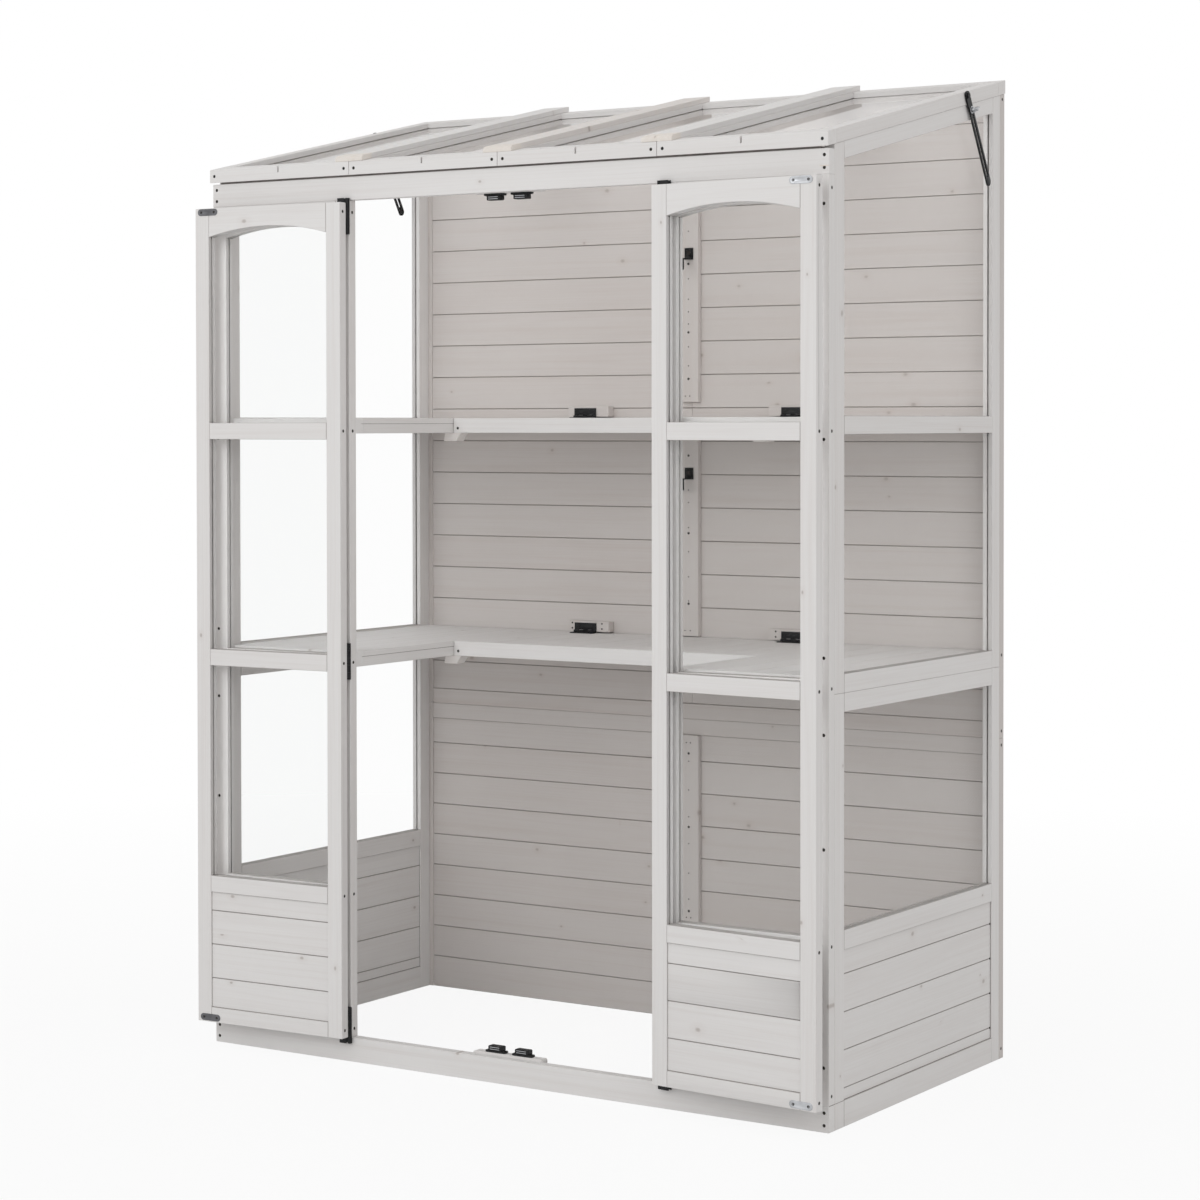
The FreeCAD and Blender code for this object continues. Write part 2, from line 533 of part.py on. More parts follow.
for word, side in SIDES:
    name = f"{word}_wall"
    wide = across(side, "bodyWidth / 2 - panelThickness", "bodyWidth / 2")
    middle = f"({side}) * (bodyWidth / 2 - panelThickness / 2)"
    front = ("panelThickness", "panelThickness + sideFrontWidth")
    back_face = "bodyDepth - backThickness"
    back = (f"{back_face} - sideStileWidth", back_face)
    between = (f"{front[1]} + jointGap", f"{back[0]} - jointGap")
    slot_x = (f"{middle} - paneThickness / 2 - paneClearance",
              f"{middle} + paneThickness / 2 + paneClearance")
    glass_x = (f"{middle} - paneThickness / 2", f"{middle} + paneThickness / 2")
    slot_y = (f"{front[1]} - grooveDepth", f"{back[0]} + grooveDepth")
    glass_y = (f"{slot_y[0]} + paneClearance", f"{slot_y[1]} - paneClearance")
    lights = [("sideSillTop", "lowerWallTop - seamRail"),
              ("lowerWallTop + seamRail", "sideMidRailBottom")]
    grooves = []
    for number, (low, high) in enumerate(lights, start=1):
        tall = (f"{low} - grooveDepth", f"{high} + grooveDepth")
        grooves.append(box(f"{name}_pane_groove_{number}", slot_x, slot_y, tall))
        wall_panes.append(box(f"{name}_pane_{number}", glass_x, glass_y,
                              (f"{tall[0]} + paneClearance", f"{tall[1]} - paneClearance")))
    low = "sideMidRailTop - grooveDepth"
    high = [f"{wall_top(y)} - sideTopRail + grooveDepth" for y in slot_y]
    grooves.append(sloped(f"{name}_pane_groove_3", slot_x, slot_y, (low, low), high))
    low = f"{low} + paneClearance"
    high = [f"{wall_top(y)} - sideTopRail + grooveDepth - paneClearance" for y in glass_y]
    wall_panes.append(sloped(f"{name}_pane_3", glass_x, glass_y, (low, low), high))
    grooves.append(box(f"{name}_board_housing",
                       (f"{middle} - boardThickness / 2 - jointGap / 2",
                        f"{middle} + boardThickness / 2 + jointGap / 2"), slot_y,
                       ("baseHeight - grooveDepth", "sideSillBottom + grooveDepth")))
    lines = ["baseHeight - grooveDepth + jointGap"]
    lines += board_lines("0", "baseHeight", "sideSillBottom")
    lines.append("sideSillBottom + grooveDepth - jointGap")
    wall_boards += board_row(f"{name}_board", "z", "x", lines,
                             (f"{middle} - boardThickness / 2", f"{middle} + boardThickness / 2"),
                             (f"{slot_y[0]} + jointGap", f"{slot_y[1]} - jointGap"))

    timbers = []
    holes = list(corner_holes[word])
    seam = ("lowerWallTop - jointGap", "lowerWallTop")
    for title, span in (("front", front), ("back", back)):
        timbers.append(box(f"{name}_lower_{title}_stile", wide, span, ("0", seam[0])))
        timbers.append(sloped(f"{name}_upper_{title}_stile", wide, span, (seam[1], seam[1]),
                              (wall_top(span[0]), wall_top(span[1]))))
    rails = [
        ("bottom_rail", "0", "baseHeight"),
        ("sill", "sideSillBottom", "sideSillTop"),
        ("seam_rail_below", "lowerWallTop - seamRail", seam[0]),
        ("seam_rail_above", seam[1], "lowerWallTop + seamRail"),
        ("mid_rail", "sideMidRailBottom", "sideMidRailTop"),
    ]
    for title, low, high in rails:
        timbers.append(box(f"{name}_{title}", wide, between, (low, high)))
    tops = [wall_top(y) for y in between]
    timbers.append(sloped(f"{name}_top_rail", wide, between,
                          [f"{top} - sideTopRail" for top in tops], tops))
    tools = gather(f"{name}_grooves", grooves)
    drill = gather(f"{name}_holes", holes)
    frame = []
    for timber in timbers:
        grooved = cut(timber.Name + "_grooved", timber, tools)
        if timber.Name.endswith("front_stile"):
            grooved = cut(timber.Name + "_drilled", grooved, drill)
        frame.append(grooved)
    node(f"{word}_side_wall_frame", frame)

node("wall_boards", wall_boards)
node("wall_glazing", wall_panes)

# Back wall

back_y = ("bodyDepth - backThickness", "bodyDepth")
back_frame = []
for word, side in SIDES:
    wide = across(side, "bodyWidth / 2 - backStileWidth", "bodyWidth / 2")
    back_frame.append(box(f"{word}_back_stile_lower", wide, back_y,
                          ("0", "backStileJoint - jointGap")))
    back_frame.append(sloped(f"{word}_back_stile_upper", wide, back_y,
                             ("backStileJoint", "backStileJoint"), [wall_top(y) for y in back_y]))
rail_end = "bodyWidth / 2 - backStileWidth - jointGap"
for title, span in (("below", ("backSeamBottom", "backStileJoint - jointGap")),
                    ("above", ("backStileJoint", "backSeamTop"))):
    back_frame.append(box(f"back_seam_rail_{title}", (f"-({rail_end})", rail_end), back_y, span))
holes = []
for word, side in SIDES:
    for level in ("backScrewFoot", "backScrewBelow", "backScrewAbove", "backScrewMiddle",
                  "backScrewTop"):
        start = (f"({side}) * bodyWidth / 2", "bodyDepth - backThickness / 2", level)
        length = "shortScrewLength" if level == "backScrewMiddle" else "screwLength"
        screw, hole = wood_screw(f"{word}_{level}", "x", -side, start, length)
        root_screws.append(screw)
        holes.append(hole)
back_drill = gather("back_screw_holes", holes)
node("back_wall_frame", [cut(piece.Name + "_drilled", piece, back_drill) for piece in back_frame])

size["backWallTop"] = size["roofUnderBack"] - size["roofThickness"]
back_board_y = (f"{back_y[0]} + backRecess", back_y[1])
tongue_slot = [f"(({back_board_y[0]}) + bodyDepth) / 2 {sign} (tongueThickness / 2 + tongueClearance)"
               for sign in "-+"]
lower_lines = ["0"] + board_lines("0", "0", "backSeamBottom") + ["backSeamBottom - jointGap"]
upper_lines = ["backSeamTop + jointGap"]
upper_lines += board_lines("upperBoardStart", "backSeamTop", "backWallTop", "upperBoardPitch")
last_joint = upper_lines[-1]
for word, side in SIDES:
    wide = across(side, "jointGap", rail_end)
    boards = board_row(f"{word}_low_back_board", "z", "y", lower_lines, back_board_y, wide)
    boards += board_row(f"{word}_high_back_board", "z", "y",
                        upper_lines + [f"{last_joint} + tongueDepth * 3"], back_board_y, wide)
    boards.pop()
    start = f"{last_joint} + boardGap / 2"
    top_board = sloped(f"{word}_back_board_top_plank", wide, back_board_y, (start, start),
                       [wall_top(y) for y in back_board_y])
    groove = box(f"{word}_back_board_top_groove", wide, tongue_slot,
                 (f"{start} - boardGap", f"{start} + tongueDepth + tongueClearance - boardGap"))
    boards.append(cut(f"{word}_back_board_top", top_board, groove))
    for place in (0, -1):
        boards[place] = cut(boards[place].Name + "_drilled", boards[place], back_drill)
    node(f"back_wall_{word}_boards", boards)

strip_y = ("bodyDepth - backThickness - centreStripThickness", back_board_y[0])
strip_spans = [("lowStripBottom", "lowStripTop"), ("midStripBottom", "midStripTop"),
               ("highStripBottom", "highStripTop")]
strips = []
for number, span in enumerate(strip_spans, start=1):
    strips.append(box(f"centre_strip_{number}", ("-centreStripWidth / 2", "centreStripWidth / 2"),
                      strip_y, span))


# Roof panels: 1 and 4 are vents, 2 and 3 are fixed

def roof_panel(name, x, lift):
    """Frame, pane and front screws of one roof panel; lift is its height above the wall tops."""
    y = ("roofFront", "bodyDepth")
    inner_x = (f"{x[0]} + stileWidth", f"{x[1]} - stileWidth")
    inner_y = (f"{y[0]} + stileWidth", f"{y[1]} - stileWidth")

    def band(span, low, high):
        return ([f"{roof_under(v)} + {lift} + {low}" for v in span],
                [f"{roof_under(v)} + {lift} + {high}" for v in span])

    centre = "roofThickness / 2"
    slot_y = (f"{inner_y[0]} - grooveDepth", f"{inner_y[1]} + grooveDepth")
    slot = sloped(f"{name}_groove", (f"{inner_x[0]} - grooveDepth", f"{inner_x[1]} + grooveDepth"),
                  slot_y, *band(slot_y, f"{centre} - paneThickness / 2 - paneClearance",
                                f"{centre} + paneThickness / 2 + paneClearance"))
    glass_y = (f"{slot_y[0]} + paneClearance", f"{slot_y[1]} - paneClearance")
    pane = sloped(f"{name}_pane", (f"{inner_x[0]} - grooveDepth + paneClearance",
                                   f"{inner_x[1]} + grooveDepth - paneClearance"), glass_y,
                  *band(glass_y, f"{centre} - paneThickness / 2", f"{centre} + paneThickness / 2"))
    middle = f"(({x[0]}) + ({x[1]})) / 2"
    drain_y = ("roofFront - 1", f"{inner_y[0]} + 1")
    drain = sloped(f"{name}_drain", (f"{middle} - drainWidth / 2", f"{middle} + drainWidth / 2"),
                   drain_y, *band(drain_y, "roofThickness - drainDepth", "roofThickness + 1"))
    screws = []
    holes = []
    for number, edge in enumerate((f"{x[0]} + roofScrewInset", f"{x[1]} - roofScrewInset"), start=1):
        start = (edge, "roofFront", f"{roof_under('roofFront')} + {lift} + {centre}")
        screw, hole = wood_screw(f"{name}_screw_{number}", "y", 1, start, "roofScrewLength")
        screws.append(screw)
        holes.append(hole)
    drill = gather(f"{name}_holes", holes)
    rail_y = (f"{inner_y[0]} + jointGap", f"{inner_y[1]} - jointGap")
    pieces = [
        sloped(f"{name}_front_rail", x, (y[0], inner_y[0]),
               *band((y[0], inner_y[0]), "0", "roofThickness")),
        sloped(f"{name}_back_rail", x, (inner_y[1], y[1]),
               *band((inner_y[1], y[1]), "0", "roofThickness")),
        sloped(f"{name}_left_rail", (x[0], inner_x[0]), rail_y, *band(rail_y, "0", "roofThickness")),
        sloped(f"{name}_right_rail", (inner_x[1], x[1]), rail_y, *band(rail_y, "0", "roofThickness")),
    ]
    frame = []
    for piece in pieces:
        grooved = cut(piece.Name + "_grooved", piece, slot)
        if not piece.Name.endswith("back_rail"):
            grooved = cut(piece.Name + "_drilled", grooved, drill)
        frame.append(grooved)
    frame[0] = cut(f"{name}_front_rail_drained", frame[0], drain)
    return frame, pane, screws


def batten(name, centre, lift):
    """A batten over a seam, with its front end chamfered on top."""
    y = ("roofFront", "bodyDepth")
    x = (f"{centre} - battenWidth / 2", f"{centre} + battenWidth / 2")
    low = [f"{roof_under(v)} + {lift} + roofThickness" for v in y]
    plain = sloped(name + "_plain", x, y, low, [f"{value} + battenThickness" for value in low])
    nose_y = ("roofFront - 1", "roofFront + battenChamfer")
    rise = f"{roof_under('roofFront')} + {lift} + roofThickness + battenThickness"
    nose = sloped(name + "_nose", (f"{x[0]} - 1", f"{x[1]} + 1"), nose_y,
                  (f"{rise} - battenChamfer", f"{rise} + battenChamfer * 0.25"),
                  (f"{rise} + battenChamfer", f"{rise} + battenChamfer * 2"))
    return cut(name, plain, nose)


panel_width = f"(2 * roofHalf / {ROOF_PANELS})"
panel_x = []
for number in range(ROOF_PANELS):
    low = "-roofHalf" if number == 0 else f"-roofHalf + {panel_width} * {number} + roofSeamGap / 2"
    high = f"-roofHalf + {panel_width} * {number + 1} - roofSeamGap / 2"
    panel_x.append((low, "roofHalf" if number == ROOF_PANELS - 1 else high))

fixed_frames = []
fixed_panes = []
header_drill = gather("roof_to_header_holes", corner_holes["roof"])
for number in (1, 2):
    frame, pane, screws = roof_panel(f"roof_panel_{number + 1}", panel_x[number], "(0 - seatGap)")
    frame[0] = cut(f"roof_panel_{number + 1}_front_rail_fixed", frame[0], header_drill)
    fixed_frames += frame
    fixed_panes.append(pane)
    root_screws += screws
node("middle_roof_frames", fixed_frames)
node("middle_roof_glazing", fixed_panes)
node("middle_roof_batten", [batten("middle_batten", "0", "(0 - seatGap)")])


# Hinges

def hinge_leaf(name, knuckles, offset, width, length, radius, pin):
    """One leaf of a butt hinge. Its axis is the local X axis, its plate reaches up along Z
    and lies on a mounting face at a distance offset behind the axis."""
    flat = (f"{offset} - leafThickness", offset)
    relief = f"{radius} + leafRelief"
    pieces = [box(name + "_plate", ("0", length), flat, (relief, width))]
    for number in knuckles:
        start = f"{length} / {KNUCKLES} * {number} + knuckleGap / 2"
        run = f"{length} / {KNUCKLES} - knuckleGap"
        pieces.append(box(f"{name}_tab_{number}", (start, f"{start} + {run}"), flat,
                          ("0", f"{relief} + 1")))
        pieces.append(rod(f"{name}_knuckle_{number}", "x", (start, "0", "0"), run, radius))
    bore = rod(name + "_bore", "x", ("-1", "0", "0"), f"{length} + 2", f"{pin} + pinClearance")
    return cut(name, fuse(name + "_blank", pieces), bore)


def turned(piece, base, turns):
    """Place a piece at a point of three formulas, with a fixed rotation."""
    rotation = FreeCAD.Rotation()
    for axis, angle in turns:
        rotation = FreeCAD.Rotation(FreeCAD.Vector(*axis), angle).multiply(rotation)
    piece.Placement = FreeCAD.Placement(FreeCAD.Vector(), rotation)
    for letter, formula in zip("xyz", base):
        bind(piece, "Placement.Base." + letter, formula)
    return piece


X_AXIS = (1, 0, 0)
Y_AXIS = (0, 1, 0)
Z_AXIS = (0, 0, 1)
EVEN = range(0, KNUCKLES, 2)
ODD = range(1, KNUCKLES, 2)
door_axis_x = "(openingHalf - doorSideGap / 2)"
hinge_rows = ["bottomHingeBottom", "middleHingeBottom", "topHingeBottom"]


def upright(leaf, side, x, y, bottom):
    """Stand a leaf on its end, with its plate reaching to one side of the axis."""
    low = bottom if side < 0 else f"{bottom} + doorHingeLength"
    return turned(leaf, (x, y, low), [(Y_AXIS, side * 90)])


fixed_leaves = []
pins = []
for word, side in SIDES:
    for number, bottom in enumerate(hinge_rows, start=1):
        name = f"{word}_door_fixed_leaf_{number}"
        leaf = hinge_leaf(name, EVEN, "hingeOffset", "doorLeafWidth", "doorHingeLength",
                          "knuckleRadius", "pinRadius")
        start = f"({side}) * {door_axis_x}"
        fixed_leaves.append(upright(leaf, side, start, "0 - hingeOffset", bottom))
        pins.append(rod(f"{word}_door_pin_{number}", "z", (start, "0 - hingeOffset", bottom),
                        "doorHingeLength", "pinRadius"))
node("door_hinge_fixed_leaves", fixed_leaves)

# Doors: each is built shut, with its hinge axis at the local origin, then swung open

for word, side in SIDES:
    hand = -side
    frame, boards, panes, screws = front_panel(
        f"{word}_door", hand, "doorSideGap / 2", f"({door_axis_x} - doorMeetingGap / 2)",
        "(hingeOffset - doorProud)", "doorBottom", "doorTop")
    leaves = []
    for number, bottom in enumerate(hinge_rows, start=1):
        leaf = hinge_leaf(f"{word}_door_leaf_{number}", ODD, "hingeOffset - doorProud",
                          "doorLeafWidth", "doorHingeLength", "knuckleRadius", "pinRadius")
        leaves.append(upright(leaf, hand, "0", "0", bottom))
    inner_face = "(hingeOffset - doorProud + panelThickness)"
    free = f"({door_axis_x} - doorMeetingGap / 2)"
    wide = across(hand, f"{free} - strikeInset - strikeLength", f"{free} - strikeInset")
    flat = (inner_face, f"{inner_face} + strikeThickness")
    low_edge = "baseHeight + catchBlockRise + catchGap"
    strikes = [
        box(f"{word}_strike_low", wide, flat, (low_edge, f"{low_edge} + strikeHeight")),
        box(f"{word}_strike_high", wide, flat,
            ("doorTop - strikeEdge - strikeHeight", "doorTop - strikeEdge")),
    ]
    groups = (("frame", frame), ("boards", boards), ("glazing", panes), ("hinge_leaves", leaves),
              ("strike_plates", strikes), ("screws", screws))
    for title, pieces in groups:
        part = node(f"{word}_door_{title}", pieces)
        swing = FreeCAD.Rotation(FreeCAD.Vector(0, 0, side), 90)
        part.Placement = FreeCAD.Placement(FreeCAD.Vector(), swing)
        bind(part, "Placement.Base.x", f"({side}) * {door_axis_x}")
        bind(part, "Placement.Base.y", "0 - hingeOffset")
        bind(part, "Placement.Rotation.Angle", f"{word}DoorOpen")

# Roof vents, their hinges and their stays

wall_leaves = []
vent_axis_y = "bodyDepth + hingeOffset"
vent_axis_z = "roofUnderBack"
for word, side in SIDES:
    number = 0 if side < 0 else ROOF_PANELS - 1
    x = panel_x[number]
    frame, pane, screws = roof_panel(f"{word}_vent", x, "0")
    node(f"{word}_vent_frame", frame)
    node(f"{word}_vent_glazing", [pane])
    seam = f"({side}) * {panel_width}"
    node(f"{word}_vent_batten", [batten(f"{word}_vent_seam_batten", seam, "0")])
    centre = f"(({x[0]}) + ({x[1]})) / 2"
    moving = []
    for count, place in enumerate(("-", "+"), start=1):
        start = f"{centre} {place} ventHingeSpread - ventHingeLength / 2"
        leaf = hinge_leaf(f"{word}_vent_leaf_{count}", ODD, "hingeOffset", "ventLeafWidth",
                          "ventHingeLength", "knuckleRadius", "pinRadius")
        end = f"{start} + ventHingeLength"
        moving.append(turned(leaf, (end, vent_axis_y, vent_axis_z), [(Z_AXIS, 180)]))
        leaf = hinge_leaf(f"{word}_vent_wall_leaf_{count}", EVEN, "hingeOffset", "ventLeafWidth",
                          "ventHingeLength", "knuckleRadius", "pinRadius")
        wall_leaves.append(turned(leaf, (start, vent_axis_y, vent_axis_z), [(X_AXIS, 180)]))
        pins.append(rod(f"{word}_vent_pin_{count}", "x", (start, vent_axis_y, vent_axis_z),
                        "ventHingeLength", "pinRadius"))
    node(f"{word}_vent_leaves_and_screws", moving + screws)
node("vent_hinge_wall_leaves", wall_leaves)


def stay_placed(piece):
    """Hang a piece that was built under the stay's pivot, at the stay's lean."""
    return turned(piece, ("0", "stayPivotY", "stayPivotZ"), [(X_AXIS, size["stayLean"])])


for word, side in SIDES:
    def outward(start, end, side=side):
        return across(side, f"roofHalf + {start}", f"roofHalf + {end}")

    def bolt_rod(name, start, end, drop, radius, side=side):
        span = outward(start, end, side)
        return rod(name, "x", (span[0], "0", f"0 - ({drop})"), f"({span[1]}) - ({span[0]})", radius)

    flat = outward("stayStandOff", "stayStandOff + stayThickness")
    bar = fuse(f"{word}_stay_blank", [
        box(f"{word}_stay_bar", flat, ("0 - stayHalfWidth", "stayHalfWidth"), ("0 - stayLength", "0")),
        bolt_rod(f"{word}_stay_top", "stayStandOff", "stayStandOff + stayThickness", "0",
                 "stayHalfWidth"),
        bolt_rod(f"{word}_stay_foot", "stayStandOff", "stayStandOff + stayThickness", "stayLength",
                 "stayHalfWidth"),
    ])
    through = ("stayStandOff - 1", "stayStandOff + stayThickness + 1")
    slot = fuse(f"{word}_stay_slot", [
        box(f"{word}_stay_slot_middle", outward(*through), ("0 - staySlotHalf", "staySlotHalf"),
            ("0 - staySlotEnd", "0 - staySlotStart")),
        bolt_rod(f"{word}_stay_slot_top", *through, "staySlotStart", "staySlotHalf"),
        bolt_rod(f"{word}_stay_slot_foot", *through, "staySlotEnd", "staySlotHalf"),
        bolt_rod(f"{word}_stay_hole", *through, "0", "stayScrewRadius + screwClearance"),
    ])
    screw = fuse(f"{word}_stay_pivot_screw", [
        bolt_rod(f"{word}_stay_pivot_shank", "0 - stayScrewDepth",
                 "stayStandOff + stayThickness + 1", "0", "stayScrewRadius"),
        bolt_rod(f"{word}_stay_pivot_head", "stayStandOff + stayThickness + seatGap",
                 "stayStandOff + stayThickness + seatGap + stayScrewHeadHeight", "0",
                 "stayScrewHead"),
    ])
    stay = node(f"{word}_stay", [cut(f"{word}_stay_bar_slotted", bar, slot), screw])
    stay_placed(stay)
    outer = "stayStandOff + stayThickness"
    wall = "0 - (roofHalf - bodyWidth / 2)"
    bolt = bolt_rod(f"{word}_stay_bolt_shank", f"{wall} + seatGap", f"{wall} + stayBoltLength",
                    "stayBoltDistance", "stayBoltRadius")
    washer_hole = bolt_rod(f"{word}_washer_hole", outer, f"{outer} + 3", "stayBoltDistance",
                           "stayBoltRadius + pinClearance")
    washer = cut(f"{word}_washer", bolt_rod(f"{word}_washer_disc", f"{outer} + seatGap",
                                            f"{outer} + seatGap + washerThickness",
                                            "stayBoltDistance", "washerRadius"), washer_hole)
    stay_placed(node(f"{word}_stay_bolt", [bolt, washer]))
    seat = f"{outer} + 2 * seatGap + washerThickness"
    wings = [bolt_rod(f"{word}_wing_hub", seat, f"{seat} + wingHubLength", "stayBoltDistance",
                      "wingHubRadius")]
    for count, place in enumerate(("-", "+"), start=1):
        tip = [f"0 {place} wingSpan", f"0 {place} wingHubRadius * 0.6"]
        if place == "+":
            tip.reverse()
        wings.append(box(f"{word}_wing_{count}", outward(f"{seat} + 1", f"{seat} + 1 + wingHeight"),
                         tip, ("0 - stayBoltDistance - wingThickness / 2",
                               "0 - stayBoltDistance + wingThickness / 2")))
    thread = bolt_rod(f"{word}_wing_thread", f"{outer} - 1", f"{seat} + wingHeight + 5",
                      "stayBoltDistance", "stayBoltRadius + pinClearance")
    nut = cut(f"{word}_wing_body", fuse(f"{word}_wing_blank", wings), thread)
    stay_placed(node(f"{word}_wing_nut", [nut]))

# The vent frames are drilled for the stays' pivot screws

for word, side in SIDES:
    rail = doc.getObject(f"{word}_vent_{word}_rail_drilled")
    span = across(side, "roofHalf - stayScrewDepth - 1", "roofHalf + 1")
    hole = rod(f"{word}_vent_pivot_hole", "x", (span[0], "stayPivotY", "stayPivotZ"),
               "stayScrewDepth + 2", "stayScrewRadius + screwClearance")
    frame = doc.getObject(f"{word}_vent_frame")
    drilled = cut(f"{word}_vent_outer_rail", rail, hole)
    frame.Links = [drilled if link.Name == rail.Name else link for link in frame.Links]

# Shelves

TIERS = (("lower", "lowerShelfTop"), ("upper", "upperShelfTop"))


def shelf_boards(name, x, y, top):
    """Boards that run from front to back between two distances across."""
    width = x[2]
    count = max(1, round(width / size["boardPitch"]))
    lines = [f"({x[0]}) + (({x[1]}) - ({x[0]})) / {count} * {number}" for number in range(count + 1)]
    return board_row(name, "x", "z", lines, (f"{top} - shelfBoard", top), y)


def shelf_frame(name, x, y, top):
    """Front, back and side rails and the bearers under the boards."""
    z = (f"{top} - shelfHeight", top)
    inner_x = (f"{x[0]} + shelfRail", f"{x[1]} - shelfRail")
    inner_y = (f"{y[0]} + shelfRail", f"{y[1]} - shelfRail")
    rail_y = (f"{inner_y[0]} + jointGap", f"{inner_y[1]} - jointGap")
    pieces = [
        box(f"{name}_front_rail", x, (y[0], inner_y[0]), z),
        box(f"{name}_back_rail", x, (inner_y[1], y[1]), z),
        box(f"{name}_left_rail", (x[0], inner_x[0]), rail_y, z),
        box(f"{name}_right_rail", (inner_x[1], x[1]), rail_y, z),
    ]
    under = (z[0], f"{top} - shelfBoard - jointGap / 2")
    for number in range(1, SHELF_BEARERS + 1):
        centre = f"({y[0]}) + (({y[1]}) - ({y[0]})) / {SHELF_BEARERS + 1} * {number}"
        pieces.append(box(f"{name}_bearer_{number}",
                          (f"{inner_x[0]} + jointGap", f"{inner_x[1]} - jointGap"),
                          (f"{centre} - shelfRail / 2", f"{centre} + shelfRail / 2"), under))
    return pieces, (f"{inner_x[0]} + jointGap", f"{inner_x[1]} - jointGap"), rail_y


shelf_timbers = []
side_boards = []
ledges = []
blocks = []
shelf_wall_leaves = []
for tier, top in TIERS:
    for word, side in SIDES:
        x = across(side, "sideShelfInner", "bodyWidth / 2 - panelThickness - jointGap")
        y = ("panelThickness + jointGap", "bodyDepth - backThickness - jointGap")
        pieces, board_x, board_y = shelf_frame(f"{tier}_{word}_shelf", x, y, top)
        shelf_timbers += pieces
        width = size["bodyWidth"] / 2 - size["sideShelfInner"] - 3 * size["shelfRail"]
        side_boards += shelf_boards(f"{tier}_{word}_shelf_board", (*board_x, width), board_y, top)
        ledges.append(box(f"{tier}_{word}_ledge", across(side, "ledgeInner", "ledgeOuter"),
                          ("middleShelfFront", "middleShelfFront + ledgeDepth"),
                          (f"{top} - shelfHeight - ledgeHeight", f"{top} - shelfHeight - jointGap")))
        block_y = ("bodyDepth - backThickness - shelfBlockDepth", back_board_y[0])
        blocks.append(box(f"{tier}_{word}_hinge_block",
                          across(side, "shelfBlockInner", "shelfBlockOuter"), block_y,
                          (f"{top} + shelfBlockLift", f"{top} + shelfBlockLift + shelfBlockHeight")))
node("side_shelf_frames", shelf_timbers)
node("side_shelf_boards", side_boards)
node("shelf_ledge_blocks", ledges)

shelf_axis_y = "bodyDepth - backThickness - shelfBlockDepth - shelfHingeOffset"
for tier, top in TIERS:
    x = ("0 - middleShelfHalf", "middleShelfHalf")
    y = ("middleShelfFront", "bodyDepth - backThickness - shelfBackGap")
    pieces, board_x, board_y = shelf_frame(f"{tier}_folding_shelf", x, y, top)
    node(f"{tier}_folding_shelf_frame", pieces)
    width = 2 * (size["middleShelfHalf"] - size["shelfRail"])
    node(f"{tier}_folding_shelf_boards",
         shelf_boards(f"{tier}_folding_board", (*board_x, width), board_y, top))
    moving = []
    axis_z = f"{top} + shelfHingeOffset"
    for word, side in SIDES:
        start = f"({side}) * shelfHingeCentre - shelfHingeLength / 2"
        end = f"({side}) * shelfHingeCentre + shelfHingeLength / 2"
        leaf = hinge_leaf(f"{tier}_{word}_shelf_leaf", ODD, "shelfHingeOffset", "shelfLeafWidth",
                          "shelfHingeLength", "shelfKnuckleRadius", "shelfPinRadius")
        moving.append(turned(leaf, (end, shelf_axis_y, axis_z), [(Z_AXIS, 180), (X_AXIS, 90)]))
        leaf = hinge_leaf(f"{tier}_{word}_shelf_wall_leaf", EVEN, "shelfHingeOffset",
                          "shelfLeafWidth", "shelfHingeLength", "shelfKnuckleRadius",
                          "shelfPinRadius")
        shelf_wall_leaves.append(turned(leaf, (start, shelf_axis_y, axis_z), []))
        pins.append(rod(f"{tier}_{word}_shelf_pin", "x", (start, shelf_axis_y, axis_z),
                        "shelfHingeLength", "shelfPinRadius"))
    node(f"{tier}_folding_shelf_hinge_leaves", moving)
node("shelf_hinge_wall_leaves", shelf_wall_leaves)
node("hinge_pins", pins)

# Shelf catches: a bent strap that turns on a screw in the centre strip

strip_face = f"({strip_y[0]})"
strip_holes = []
for tier, top in TIERS:
    plate_z = (f"{top} + hookAbove", f"{top} + hookAbove + hookPlateHeight")
    back = f"({strip_face} - hookStandOff)"
    tip = f"({strip_face} - hookReach)"
    arm_x = ("0 - hookArmWidth / 2", "hookArmWidth / 2")
    strap = fuse(f"{tier}_catch_blank", [
        box(f"{tier}_catch_plate", ("0 - hookPlate / 2", "hookPlate / 2"),
            (f"{back} - hookThickness", back), plate_z),
        box(f"{tier}_catch_arm", arm_x, (tip, back), (plate_z[0], f"{plate_z[0]} + hookThickness")),
        box(f"{tier}_catch_lip", arm_x, (tip, f"{tip} + hookThickness"),
            (f"{plate_z[0]} - hookLip + hookThickness", f"{plate_z[0]} + hookThickness")),
    ])
    level = f"{plate_z[0]} + hookPlateHeight * 0.55"
    bore = rod(f"{tier}_catch_bore", "y", ("0", f"{back} - hookThickness - 1", level),
               "hookThickness + 2", "hookScrewRadius + pinClearance")
    head_y = f"{back} - hookThickness - knuckleGap"
    screw = fuse(f"{tier}_catch_screw", [
        rod(f"{tier}_catch_screw_head", "y", ("0", f"{head_y} - 2", level), "2", "hookScrewHead"),
        rod(f"{tier}_catch_screw_shank", "y", ("0", f"{head_y} - 1", level),
            "centreStripThickness", "hookScrewRadius"),
    ])
    strip_holes.append(rod(f"{tier}_catch_screw_hole", "y", ("0", f"{strip_face} - 1", level),
                           "centreStripThickness", "hookScrewRadius + screwClearance"))
    root_screws.append(screw)
    node(f"{tier}_shelf_catch", [cut(f"{tier}_catch_strap", strap, bore)])
drill = gather("centre_strip_holes", strip_holes)
node("back_wall_centre_strips",
     [cut(strip.Name + "_drilled", strip, drill) for strip in strips])

# Magnetic catches for the doors and the blocks that carry them

